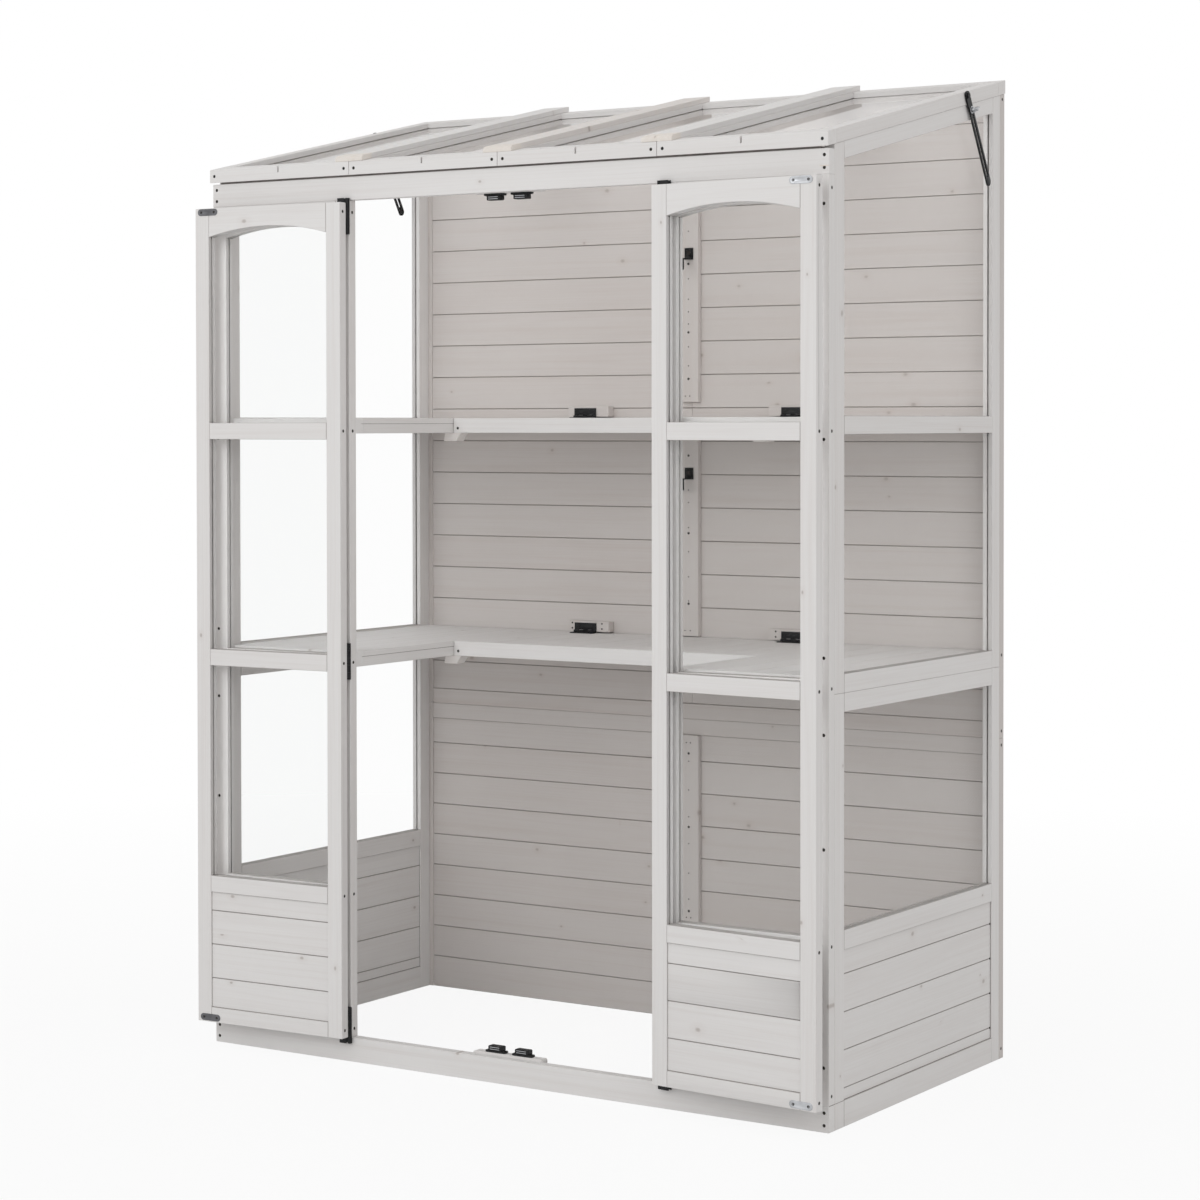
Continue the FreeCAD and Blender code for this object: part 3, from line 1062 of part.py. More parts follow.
catch_y = "(panelThickness - doorProud + strikeThickness + catchGap)"
catches = []
catch_blocks = []
levels = (("lower", "baseHeight + catchBlockRise", 1), ("upper", "headerBottom", -1))
for title, seat, sign in levels:
    tall = (seat, f"{seat} + ({sign}) * catchFlangeThickness")
    body = (tall[1], f"{tall[1]} + ({sign}) * catchBodyHeight")
    block = (f"{seat} - ({sign}) * catchBlockHeight", seat)
    if sign < 0:
        tall = tall[::-1]
        body = body[::-1]
        block = block[::-1]
    for word, side in SIDES:
        centre = f"({side}) * catchCentre"
        flange = box(f"{title}_{word}_catch_flange",
                     (f"{centre} - catchFlange / 2", f"{centre} + catchFlange / 2"),
                     (f"{catch_y} + 1", f"{catch_y} + 1 + catchFlangeDepth"), tall)
        case = box(f"{title}_{word}_catch_case",
                   (f"{centre} - catchBody / 2", f"{centre} + catchBody / 2"),
                   (catch_y, f"{catch_y} + catchBodyDepth"), body)
        catches.append(fuse(f"{title}_{word}_magnet", [flange, case]))
    blank = box(f"{title}_catch_block_blank", ("0 - catchBlockHalf", "catchBlockHalf"),
                ("panelThickness", "panelThickness + catchBlockDepth"), block)
    catch_blocks.append(chamfer_along(f"{title}_catch_block", blank, "y",
                                      size["catchBlockChamfer"]))
node("mounting_blocks", blocks + catch_blocks)
node("magnetic_catches", catches)
node("frame_screws", root_screws)

# Recompute, check every object and write one file per sub-part

doc.recompute()
failed = [item.Name for item in doc.Objects if "Invalid" in item.State or "Error" in item.State]
if failed:
    raise RuntimeError("failed objects: " + ", ".join(failed[:20]))
os.makedirs("parts", exist_ok=True)
total = 0
for piece in nodes:
    shape = piece.Shape
    if shape.isNull() or not shape.isValid() or not shape.Solids:
        raise RuntimeError("bad shape: " + piece.Label)
    shape.exportStep(f"parts/{piece.Label}.step")
    total += len(shape.Solids)
print(len(nodes), "sub-parts,", total, "solids")
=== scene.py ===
import json
import math

import bmesh
import bpy
import numpy as np
from mathutils import Matrix, Vector


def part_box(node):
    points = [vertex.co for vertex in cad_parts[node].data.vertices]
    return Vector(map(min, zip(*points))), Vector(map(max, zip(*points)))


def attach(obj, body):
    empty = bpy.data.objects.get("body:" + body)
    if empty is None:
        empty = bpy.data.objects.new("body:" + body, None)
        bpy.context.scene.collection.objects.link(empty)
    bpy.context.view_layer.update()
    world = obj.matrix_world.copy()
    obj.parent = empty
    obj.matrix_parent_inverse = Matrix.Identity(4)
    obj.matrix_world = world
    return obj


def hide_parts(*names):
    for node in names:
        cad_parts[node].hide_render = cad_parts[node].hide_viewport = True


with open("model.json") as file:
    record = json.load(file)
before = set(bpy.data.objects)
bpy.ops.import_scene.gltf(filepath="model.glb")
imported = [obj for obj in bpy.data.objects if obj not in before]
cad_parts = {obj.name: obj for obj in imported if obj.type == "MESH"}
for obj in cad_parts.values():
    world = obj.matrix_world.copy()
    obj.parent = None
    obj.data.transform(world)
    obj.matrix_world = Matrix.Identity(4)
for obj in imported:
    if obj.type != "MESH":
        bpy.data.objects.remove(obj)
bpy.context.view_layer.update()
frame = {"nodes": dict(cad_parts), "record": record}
nodes = frame["nodes"]
bodies = frame["record"]["behaviour"]["bodies"]
bodyOf = {name: body for body, names in bodies.items() for name in names}
print("frame loaded,", len(nodes), "nodes")


# Camera, where the photographer stood

camera = {
    "place": (3.17220, -4.64275, 1.28931),
    "yaw": 33.518,
    "pitch": -1.083,
    "roll": -0.089,
    "lens": 86.81,
    "sensor": 36,
    "shift": (0.0487, -0.1018),
    "farEnd": 60,
}


# Looks along (-sin yaw cos pitch, cos yaw cos pitch, sin pitch), then rolls about that line
def setCamera(c):
    yaw, pitch, roll = (math.radians(c[key]) for key in ("yaw", "pitch", "roll"))
    ahead = Vector((-math.sin(yaw) * math.cos(pitch), math.cos(yaw) * math.cos(pitch), math.sin(pitch)))
    right = Vector((math.cos(yaw), math.sin(yaw), 0))
    up = right.cross(ahead)
    level = Matrix((right, up, -ahead)).transposed()
    data = bpy.data.cameras.new("viewpoint")
    data.lens = c["lens"]
    data.sensor_width = c["sensor"]
    data.shift_x, data.shift_y = c["shift"]
    data.clip_end = c["farEnd"]
    cam = bpy.data.objects.new("viewpoint", data)
    rolled = level @ Matrix.Rotation(roll, 3, "Z")
    cam.matrix_world = Matrix.Translation(c["place"]) @ rolled.to_4x4()
    bpy.context.scene.collection.objects.link(cam)
    bpy.context.scene.camera = cam


setCamera(camera)
bpy.context.scene.view_settings.view_transform = "Standard"


# Materials

def freshTree(name):
    mat = bpy.data.materials.new(name)
    mat.use_nodes = True
    tree = mat.node_tree
    tree.nodes.clear()
    return mat, tree


# A shader node with its inputs linked or set, and its own settings
def put(tree, kind, inputs=None, **settings):
    node = tree.nodes.new(kind)
    for key, value in settings.items():
        setattr(node, key, value)
    for key, value in (inputs or {}).items():
        if isinstance(value, bpy.types.NodeSocket):
            tree.links.new(value, node.inputs[key])
        else:
            node.inputs[key].default_value = value
    return node


def maths(tree, how, a, b=0.0, c=0.0, clamp=False):
    return put(tree, "ShaderNodeMath", {0: a, 1: b, 2: c}, operation=how, use_clamp=clamp).outputs[0]


# Goes in a straight line from out[0] at low to out[1] at high, and stays level beyond them
def ramp(tree, value, low, high, out=(0.0, 1.0)):
    ends = {"From Min": low, "From Max": high, "To Min": out[0], "To Max": out[1]}
    return put(tree, "ShaderNodeMapRange", {"Value": value, **ends}).outputs["Result"]


# a * (1 - amount) + b * amount
def blendColour(tree, amount, a, b):
    return put(tree, "ShaderNodeMix", {0: amount, 6: a, 7: b}, data_type="RGBA").outputs[2]


# Two vectors joined number by number
def joined(tree, how, a, b):
    return put(tree, "ShaderNodeVectorMath", {0: a, 1: b}, operation=how).outputs[0]


def stretched(tree, vector, scale):
    return joined(tree, "MULTIPLY", vector, scale)


def noise(tree, vector, detail, roughness=0.5, scale=1.0):
    return put(tree, "ShaderNodeTexNoise", {"Vector": vector, "Scale": scale, "Detail": detail,
                                            "Roughness": roughness}).outputs


def finishSurface(mat, tree, shader):
    tree.links.new(shader, put(tree, "ShaderNodeOutputMaterial").inputs["Surface"])
    return mat


timberLook = {
    "pale": (0.785, 0.768, 0.757, 1),
    "thin": (0.640, 0.590, 0.565, 1),      # where the stain is thin the wood shows through
    "knot": (0.400, 0.350, 0.320, 1),
    "joint": (0.270, 0.240, 0.220, 1),     # painted shade in the chamfers where two boards meet
    "swayPitch": (1.1, 9, 9),              # pitches are in cells a metre, along, across and through
    "sway": (0, 0.026, 0.026),             # metres by which the rings wander
    "ringScale": 62,
    "ringStrength": 0.08,
    "fibrePitch": (5, 420, 420),
    "fibres": (0.46, 0.72),
    "fibreStrength": 0.16,
    "streakPitch": (1.3, 62, 62),
    "streaks": (0.50, 0.78),
    "streakStrength": 0.24,
    "cloudPitch": (3, 12, 12),
    "cloudMiddle": 0.42,
    "cloudStrength": 0.20,
    "toneStrength": 0.07,
    "knotPitch": (3.4, 13.5),
    "knotShare": 0.30,
    "knotSize": (0.0028, 0.0062),          # metres from the middle of a knot to its edge
    "knotRound": (0.8, 1.15, 1),           # knots are a little longer than wide
    "knotCore": (1.0, 0.35),               # in knot sizes: where it begins and where it is full
    "knotHalo": (3.2, 0.9),
    "knotStrength": 0.62,
    "haloStrength": 0.22,
    "wobblePitch": (120, 160, 160),
    "wobble": 0.0022,
    "jointStrength": 0.75,
    "roughness": 0.60,
    "gloss": 0.32,
    "bump": 0.00016,
}


# Grain follows each board's own length, kept in the attribute boardPlace: x along the board, y across
# it, z through it. boardTone holds one number for each board. The attribute for painted seam shade is 1
# where two boards meet and 0.8 at the ends of a frame's rails. The share of thin stain is the sum of
# rings cubed, fibres, streaks, cloud, tone and the halo of a knot, each times its strength.
def makeTimber(name, look, rawFront=None):
    mat, tree = freshTree(name)
    place = put(tree, "ShaderNodeAttribute", attribute_name="boardPlace").outputs["Vector"]
    tone = put(tree, "ShaderNodeAttribute", attribute_name="boardTone").outputs["Fac"]
    edge = put(tree, "ShaderNodeAttribute", attribute_name="paintedSeamShade").outputs["Fac"]

    sway = noise(tree, stretched(tree, place, look["swayPitch"]), 2.0)["Color"]
    ringPlace = joined(tree, "ADD", stretched(tree, place, (0, 1, 1)), stretched(tree, sway, look["sway"]))
    rings = put(tree, "ShaderNodeTexWave", {"Vector": ringPlace, "Scale": look["ringScale"],
                                            "Distortion": 1.2, "Detail": 2.0, "Detail Scale": 0.6},
                wave_type="RINGS", rings_direction="X").outputs["Fac"]
    lateWood = maths(tree, "POWER", rings, 3.0)
    fibres = noise(tree, stretched(tree, place, look["fibrePitch"]), 4.0, 0.62)["Fac"]
    streaks = noise(tree, stretched(tree, place, look["streakPitch"]), 3.0, 0.55)["Fac"]
    cloud = noise(tree, stretched(tree, place, look["cloudPitch"]), 2.0)["Fac"]

    flat = stretched(tree, place, (*look["knotPitch"], 0))
    cells = put(tree, "ShaderNodeTexVoronoi", {"Vector": flat, "Scale": 1.0, "Randomness": 0.8},
                voronoi_dimensions="3D", feature="F1").outputs
    apart = joined(tree, "SUBTRACT", flat, cells["Position"])
    inMetres = stretched(tree, apart, (*(1 / v for v in look["knotPitch"]), 0))
    rounded = stretched(tree, inMetres, look["knotRound"])
    middle = put(tree, "ShaderNodeVectorMath", {0: rounded}, operation="LENGTH").outputs["Value"]
    wobble = noise(tree, stretched(tree, place, look["wobblePitch"]), 2.0)["Fac"]
    away = maths(tree, "MULTIPLY_ADD", maths(tree, "SUBTRACT", wobble, 0.5), look["wobble"], middle)
    pick = put(tree, "ShaderNodeSeparateColor", {"Color": cells["Color"]}).outputs
    chosen = maths(tree, "LESS_THAN", pick[0], look["knotShare"])
    inSizes = maths(tree, "DIVIDE", away, ramp(tree, pick[1], 0.0, 1.0, look["knotSize"]))
    knot = maths(tree, "MULTIPLY", chosen, ramp(tree, inSizes, *look["knotCore"]))
    around = maths(tree, "MULTIPLY", chosen, ramp(tree, inSizes, *look["knotHalo"]))

    grain = maths(tree, "MULTIPLY", lateWood, look["ringStrength"])
    for value, strength in ((ramp(tree, fibres, *look["fibres"]), look["fibreStrength"]),
                            (ramp(tree, streaks, *look["streaks"]), look["streakStrength"]),
                            (maths(tree, "SUBTRACT", cloud, look["cloudMiddle"]), look["cloudStrength"]),
                            (tone, look["toneStrength"])):
        grain = maths(tree, "MULTIPLY_ADD", value, strength, grain)
    grain = maths(tree, "MULTIPLY_ADD", around, look["haloStrength"], grain, clamp=True)
    colour = blendColour(tree, grain, look["pale"], look["thin"])
    if rawFront:                            # the bare front end of a batten
        where = put(tree, "ShaderNodeTexCoord").outputs["Object"]
        depth = put(tree, "ShaderNodeSeparateXYZ", {0: where}).outputs["Y"]
        ragged = maths(tree, "MULTIPLY_ADD", maths(tree, "SUBTRACT", streaks, 0.5), rawFront["ragged"], depth)
        bare = blendColour(tree, grain, rawFront["pale"], rawFront["thin"])
        colour = blendColour(tree, ramp(tree, ragged, rawFront["until"], rawFront["from"]), colour, bare)
    colour = blendColour(tree, maths(tree, "MULTIPLY", knot, look["knotStrength"]), colour, look["knot"])
    # painted shade where boards meet and where rails meet stiles
    colour = blendColour(tree, maths(tree, "MULTIPLY", edge, look["jointStrength"]), colour, look["joint"])

    height = maths(tree, "MULTIPLY_ADD", lateWood, -0.35, maths(tree, "MULTIPLY", fibres, 0.7))
    bump = put(tree, "ShaderNodeBump", {"Height": height, "Strength": 0.5,
                                        "Distance": look["bump"]}).outputs[0]
    rough = ramp(tree, fibres, 0.3, 0.7, (look["roughness"] - 0.05, look["roughness"] + 0.08))
    shader = put(tree, "ShaderNodeBsdfPrincipled", {"Base Color": colour, "Roughness": rough, "Normal": bump,
                                                    "Specular IOR Level": look["gloss"]}).outputs[0]
    return finishSurface(mat, tree, shader)


rawLook = dict(timberLook, pale=(0.780, 0.710, 0.640, 1), thin=(0.640, 0.545, 0.450, 1),
               knot=(0.27, 0.17, 0.10, 1))
warmLook = dict(timberLook, pale=(0.780, 0.745, 0.720, 1), thin=(0.660, 0.585, 0.545, 1))
# A darker, warmer copy of the stain for the back wall: painted shade for the inside of the cabinet
shadedWallLook = dict(timberLook, pale=(0.648, 0.611, 0.590, 1), thin=(0.550, 0.478, 0.442, 1))
rawEnd = {
    "from": 0.022,                          # the wood is bare as far back as this, and stained beyond until
    "until": 0.030,
    "ragged": 0.02,
    "pale": (0.800, 0.750, 0.700, 1),
    "thin": (0.660, 0.570, 0.490, 1),
}

stainedTimber = makeTimber("stainedTimber", timberLook)
bareTimber = makeTimber("bareTimber", rawLook)
shadedWallTimber = makeTimber("shadedWallTimber", shadedWallLook)
warmTimber = makeTimber("warmTimber", warmLook)
battenTimber = makeTimber("battenTimber", timberLook, rawEnd)
middleBattenTimber = makeTimber("middleBattenTimber", warmLook, rawEnd)


# Clear sheet: shadow rays pass, so that the light comes through it to the shelves
def makePane(name, colour, bend):
    mat, tree = freshTree(name)
    glass = put(tree, "ShaderNodeBsdfPrincipled", {"Base Color": colour, "Roughness": 0.0, "IOR": bend,
                                                   "Transmission Weight": 1.0}).outputs[0]
    through = put(tree, "ShaderNodeBsdfTransparent", {"Color": (0.97, 0.97, 0.97, 1)}).outputs[0]
    rays = put(tree, "ShaderNodeLightPath")
    shadow = rays.outputs["Is Shadow Ray"]
    mixed = put(tree, "ShaderNodeMixShader", {0: shadow, 1: glass, 2: through}).outputs[0]
    return finishSurface(mat, tree, mixed)


clearPane = makePane("clearPane", (0.982, 0.984, 0.983, 1), 1.06)
roofPane = makePane("roofPane", (0.900, 0.890, 0.885, 1), 1.04)


# Coated metal, plain metal or moulded plastic: broad noise blends the colour with 0.72 of itself, and
# fine noise changes gloss and height. Where the product of both is high, the coat is rubbed.
def makeCoated(name, colour, roughness, grainSize, bump, metallic=0.0, wear=None, gloss=0.5):
    mat, tree = freshTree(name)
    where = put(tree, "ShaderNodeTexCoord").outputs["Object"]
    fine = noise(tree, where, 3.0, 0.6, grainSize)["Fac"]
    broad = noise(tree, where, 3.0, scale=45.0)["Fac"]
    dark = tuple(v * 0.72 for v in colour) + (1,)
    shade = blendColour(tree, ramp(tree, broad, 0.35, 0.65), dark, (*colour, 1))
    if wear:
        rubbed = ramp(tree, maths(tree, "MULTIPLY", broad, fine), 0.36, 0.46)
        shade = blendColour(tree, maths(tree, "MULTIPLY", rubbed, wear["amount"]), shade, wear["colour"])
    rough = ramp(tree, fine, 0.3, 0.7, (roughness - 0.06, roughness + 0.08))
    normal = put(tree, "ShaderNodeBump", {"Height": fine, "Strength": 0.4, "Distance": bump}).outputs[0]
    shader = put(tree, "ShaderNodeBsdfPrincipled",
                 {"Base Color": shade, "Roughness": rough, "Normal": normal, "Metallic": metallic,
                  "Specular IOR Level": gloss}).outputs[0]
    return finishSurface(mat, tree, shader)


blackCoat = makeCoated("blackCoat", (0.009, 0.009, 0.010), 0.46, 900, 0.00006, gloss=0.26,
                       wear={"amount": 0.12, "colour": (0.07, 0.07, 0.07, 1)})
darkScrew = makeCoated("darkScrew", (0.028, 0.023, 0.019), 0.50, 1500, 0.00004, metallic=0.25, gloss=0.3)
zincPlate = makeCoated("zincPlate", (0.56, 0.57, 0.59), 0.34, 1200, 0.00003, metallic=1.0)
# A darker copy of the zinc for the left door's strike plates: painted shade
shadedZinc = makeCoated("shadedZinc", (0.17, 0.17, 0.18), 0.42, 1200, 0.00003, metallic=1.0)
mouldedBlack = makeCoated("mouldedBlack", (0.012, 0.012, 0.013), 0.52, 2200, 0.00005, gloss=0.3)
# Colours of painted shade for the dark lines and dots in gaps, joints and corners; grooveShade also colours
# the pin marks in the centre strip
grooveShade = makeCoated("grooveShade", (0.060, 0.052, 0.047), 0.80, 700, 0.00005, gloss=0.2)
jointShade = makeCoated("jointShade", (0.270, 0.245, 0.230), 0.80, 700, 0.00005, gloss=0.2)
print("materials made")


# Timber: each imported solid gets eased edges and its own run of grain

easing = {
    "angle": 30,
    "straightEdge": 0.016,       # edges shorter than this belong to holes and slots
    "round": 0.0011,
    "steps": 2,
}
doorSwing = {"left": -177.9, "right": 175.1}      # degrees from shut to where they stand
roof = {"back": 1.9526, "front": 1.7895, "depth": 0.754}
roofSlope = math.degrees(math.atan2(roof["back"] - roof["front"], roof["depth"]))


# The matrix that turns a point about an axis
def turnAbout(axis, degrees):
    return np.array(Matrix.Rotation(math.radians(degrees), 3, axis))


bases = [np.eye(3), turnAbout("X", roofSlope), turnAbout("Z", doorSwing["left"]),
         turnAbout("Z", doorSwing["right"])]


# Numbers the separate solids of a mesh: each vertex takes the lowest label it can reach
def looseParts(pairs, count):
    label = np.arange(count)
    while True:
        low = np.minimum(label[pairs[:, 0]], label[pairs[:, 1]])
        fresh = label.copy()
        np.minimum.at(fresh, pairs[:, 0], low)
        np.minimum.at(fresh, pairs[:, 1], low)
        fresh = fresh[fresh]
        if (fresh == label).all():
            return np.unique(label, return_inverse=True)[1]
        label = fresh


# A mesh's points, and for each the number of its solid
def pointsAndParts(mesh):
    count = len(mesh.vertices)
    points = np.empty(count * 3)
    mesh.vertices.foreach_get("co", points)
    pairs = np.empty(len(mesh.edges) * 2, dtype=np.int32)
    mesh.edges.foreach_get("vertices", pairs)
    return points.reshape(-1, 3), looseParts(pairs.reshape(-1, 2), count)


# The set of axes in which a solid's box is smallest
def ownBasis(points):
    return min(bases, key=lambda basis: np.prod(np.ptp(points @ basis, axis=0) + 1e-4))


grainShift = ((0, 60), (-0.03, 0.03), (0.004, 0.07))
# Painted shade at the joints: how far it reaches on boards and rail ends, and how dark it is on rails
seamShade = {
    "boardDepth": 0.0006,      # a board's chamfers start this far below its two wide faces
    "railEnd": 0.0008,         # the end of a rail where it meets a stile, darkened with painted shade
    "railShade": 0.80,
}


# Gives each solid its own place in the grain: its points from its middle, longest side first, moved by
# chance. Boards get painted shade below their wide faces, and the rails of a jointed frame at their ends.
def writeGrain(mesh, seed, boards, jointed):
    points, part = pointsAndParts(mesh)
    place = np.zeros((len(points), 3))
    tone = np.zeros(len(points))
    shade = np.zeros(len(points))
    chance = np.random.default_rng(seed)
    for number in range(part.max() + 1):
        mine = part == number
        basis = ownBasis(points[mine])
        best = points[mine] @ basis
        order = np.argsort(-np.ptp(best, axis=0))
        local = (best - (best.max(0) + best.min(0)) / 2)[:, order]
        shift = np.array([chance.uniform(*ends) for ends in grainShift])
        place[mine] = local + shift
        tone[mine] = chance.uniform(-1, 1)
        through, along = abs(local[:, 2]), abs(local[:, 0])
        if boards:
            shade[mine] = through < through.max() - seamShade["boardDepth"]
        elif jointed and abs(basis[2, order[0]]) < 0.9:      # rails don't run upright
            shade[mine] = seamShade["railShade"] * (along > along.max() - seamShade["railEnd"])
    for name, kind, values in (("boardPlace", "FLOAT_VECTOR", place), ("boardTone", "FLOAT", tone),
                               ("paintedSeamShade", "FLOAT", shade)):
        field = "vector" if kind == "FLOAT_VECTOR" else "value"
        mesh.attributes.new(name, kind, "POINT").data.foreach_set(field, values.ravel().astype(np.float32))


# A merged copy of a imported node, with its long outer edges rounded
def easedCopy(node, ease):
    work = bmesh.new()
    work.from_mesh(nodes[node].data)
    bmesh.ops.remove_doubles(work, verts=work.verts, dist=1e-6)
    bmesh.ops.dissolve_limit(work, angle_limit=math.radians(0.4), verts=work.verts, edges=work.edges)
    sharp = [e for e in work.edges if e.is_manifold and e.is_convex
             and e.calc_length() > ease["straightEdge"]
             and e.calc_face_angle(0) > math.radians(ease["angle"])]
    if ease["round"]:
        bmesh.ops.bevel(work, geom=sharp, offset=ease["round"], segments=ease["steps"], profile=0.5,
                        affect="EDGES", clamp_overlap=False)
    bmesh.ops.triangulate(work, faces=[f for f in work.faces if len(f.verts) > 4])
    mesh = bpy.data.meshes.new(node + "_mesh")
    work.to_mesh(mesh)
    work.free()
    return mesh


# A visible piece that rides on a body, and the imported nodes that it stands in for
def addPiece(name, mesh, body, material, replaced=()):
    piece = bpy.data.objects.new(name, mesh)
    bpy.context.scene.collection.objects.link(piece)
    mesh.materials.clear()
    mesh.materials.append(material)
    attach(piece, body)
    if replaced:
        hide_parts(*replaced)


# Hinge blocks this far back get the back wall's painted shade
shadedBlocksFrom = 0.6        # metres from the front
slotOf = {part["node"]: part["material_slot"] for part in frame["record"]["subparts"]}
special = {
    # the back wall's nodes take the painted shade copy of the stain
    "back_wall_left_boards": shadedWallTimber,
    "back_wall_right_boards": shadedWallTimber,
    "back_wall_centre_strips": shadedWallTimber,
    "back_wall_frame": shadedWallTimber,
    "left_vent_batten": battenTimber,
    "right_vent_batten": battenTimber,
    "middle_roof_batten": middleBattenTimber,
}
timberNodes = [name for name in sorted(nodes) if slotOf[name] in ("painted_timber", "raw_timber")
               and name != "shelf_ledge_blocks"]
for seed, name in enumerate(timberNodes):
    boards = name.endswith("boards")
    mesh = easedCopy(name, dict(easing, round=0.0 if boards else easing["round"]))
    writeGrain(mesh, seed, boards, name.endswith(("door_frame", "panel_frame", "wall_frame")))
    look = special.get(name, bareTimber if slotOf[name] == "raw_timber" else stainedTimber)
    addPiece(name + "_timber", mesh, bodyOf[name], look, [name])
    if name == "mounting_blocks":           # the shelf hinge blocks near the back wall share its painted shade
        mesh.materials.append(shadedWallTimber)
        middles = np.empty(len(mesh.polygons) * 3)
        mesh.polygons.foreach_get("center", middles)
        mesh.polygons.foreach_set("material_index", (middles[1::3] > shadedBlocksFrom).astype(np.int32))
print("timber dressed,", len(timberNodes), "nodes")


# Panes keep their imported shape

for name in nodes:
    if slotOf[name] == "clear_pane":
        nodes[name].data.materials.clear()
        nodes[name].data.materials.append(roofPane if "vent" in name or "roof" in name else clearPane)


# Metal and plastic

smoothBelow = math.radians(35)
metalEase = dict(easing, straightEdge=0.006, round=0.0004, angle=40)
for name in sorted(nodes):
    if slotOf[name] == "black_hardware" and name != "hinge_pins":
        mesh = easedCopy(name, metalEase)
        mesh.polygons.foreach_set("use_smooth", np.ones(len(mesh.polygons), dtype=bool))
        mesh.set_sharp_from_angle(angle=smoothBelow)
        addPiece(name + "_metal", mesh, bodyOf[name], blackCoat, [name])
packedMetal = {"hinge_pins": blackCoat, "frame_screws": darkScrew, "left_door_screws": darkScrew,
               "right_door_screws": darkScrew}
for name, look in packedMetal.items():
    nodes[name].data.materials.clear()
    nodes[name].data.materials.append(look)


# Faces between neighbouring rings of a grid of points, as rows of four numbers
def quads(rings, around):
    r = np.arange(rings - 1)[:, None]
    c = np.arange(around)[None, :]
    after = (c + 1) % around
    here, above = r * around, (r + 1) * around
    corners = np.broadcast_arrays(here + c, here + after, above + after, above + c)
    return np.stack(corners, axis=-1).reshape(-1, 4)


# Closed skins through rings of points: shapes is a list of (rings, points, 3) arrays, and the first and
# last ring of each are closed with a flat face
def loftMesh(name, shapes):
    points, faces, start = [], [], 0
    for rings in shapes:
        count, around = rings.shape[:2]
        points.append(rings.reshape(-1, 3))
        faces += (quads(count, around) + start).tolist()
        faces.append((np.arange(around)[::-1] + start).tolist())
        faces.append((np.arange(around) + start + (count - 1) * around).tolist())
        start += count * around
    mesh = bpy.data.meshes.new(name)
    mesh.from_pydata(np.concatenate(points), [], faces)
    work = bmesh.new()
    work.from_mesh(mesh)
    bmesh.ops.recalc_face_normals(work, faces=work.faces)
    work.to_mesh(mesh)
    work.free()
    mesh.polygons.foreach_set("use_smooth", np.ones(len(mesh.polygons), dtype=bool))
    mesh.set_sharp_from_angle(angle=smoothBelow)
    return mesh


# Points (a, b, c) taken to origin + a * across + b * along + c * outward
def onAxes(local, origin, across, along, outward):
    return np.asarray(origin) + local @ np.array([across, along, outward], dtype=float)


screwLook = {                               # in radii of the head
    "around": 14,
    "reach": (1.0, 1.0, 0.86, 0.62, 0.40, 0.18),
    "dome": 0.34,
    "fall": 0.75,
    "sunk": -0.25,
    "slotWidth": 0.16,
    "slotReach": 0.7,
    "slotDepth": 0.30,
}


# A domed head on a polar grid: height falls with the square of the distance from the middle, and a
# cross is pressed into it
def screwHead(radius):
    k = screwLook
    turn = np.linspace(0, 2 * math.pi, k["around"], endpoint=False)[None, :]
    reach = np.array(k["reach"])[:, None]
    x, y = reach * np.cos(turn), reach * np.sin(turn)
    cross = ((abs(x) < k["slotWidth"]) | (abs(y) < k["slotWidth"])) & (reach < k["slotReach"])
    high = k["dome"] * (1 - reach ** 2 * k["fall"]) - cross * k["slotDepth"]
    high[0] = k["sunk"]
    return np.stack([x, y, high], axis=-1) * radius


# One head for each (point, outward) pair of places
def screwMesh(name, places, radius):
    head = screwHead(radius)
    shapes = []
    for point, outward in places:
        out = np.asarray(outward, dtype=float)
        side = np.cross(out, (0, 0, 1.0)) if abs(out[2]) < 0.9 else np.array([1.0, 0, 0])
        side /= np.linalg.norm(side)
        shapes.append(onAxes(head, point, side, np.cross(out, side), out))
    return loftMesh(name, shapes)


# Door hinges. Places on a door are measured from its hinge with the door shut.

hinges = {
    "axisX": 0.366, "axisY": -0.0053, "offset": 0.0053, "proud": 0.0005,
    "thick": 0.022,                        # of a door
    "bottoms": (0.038, 0.7735, 1.669),     # lower ends of the leaves
    "screws": ((0.0105, 0.012), (0.0165, 0.0365), (0.0105, 0.061)),    # out from the axis, up from the end
    "screwRadius": 0.0027,
    "sunk": 0.002,
}


# A point of a shut door, turned about the hinge to where the door stands open
def openDoor(word, point):
    swing = turnAbout("Z", doorSwing[word])
    side = -1 if word == "left" else 1
    return np.array([side * hinges["axisX"], hinges["axisY"], 0]) + np.asarray(point) @ swing.T


for word, side in (("left", -1), ("right", 1)):
    fixedPlaces, movingPlaces = [], []
    for bottom in hinges["bottoms"]:
        for out, up in hinges["screws"]:
            fixedPlaces.append(((side * (hinges["axisX"] + out), -hinges["sunk"], bottom + up), (0, -1, 0)))
            local = (-side * out, hinges["offset"] - hinges["proud"] - hinges["sunk"], bottom + up)
            movingPlaces.append((openDoor(word, local), turnAbout("Z", doorSwing[word]) @ (0, -1, 0)))
    addPiece(word + "_door_hinge_screws", screwMesh("doorScrews", movingPlaces, hinges["screwRadius"]),
             word + "_door", blackCoat)
    addPiece(word + "_fixed_hinge_screws", screwMesh("fixedScrews", fixedPlaces, hinges["screwRadius"]),
             "cabinet", blackCoat)

# Strike plates: a strip with round ends, pressed hollow in the middle, and two screws

strike = {
    "length": 0.050,
    "height": 0.014,
    "thick": 0.0012,
    "inset": 0.007,                        # from the door's free edge
    "free": 0.3648,
    "rings": ((1, 1, 0), (1, 1, 0.7), (1, 0.93, 1),        # shares of the run, radius and thickness
              (0.72, 0.55, 1), (0.70, 0.42, 0.55)),
    "screwAt": 0.0165,
    "screwRadius": 0.0028,
    "screwSunk": 0.0002,
    # the left door's plates are the painted shade copy of the zinc
    "metal": {"left": shadedZinc, "right": zincPlate},
}


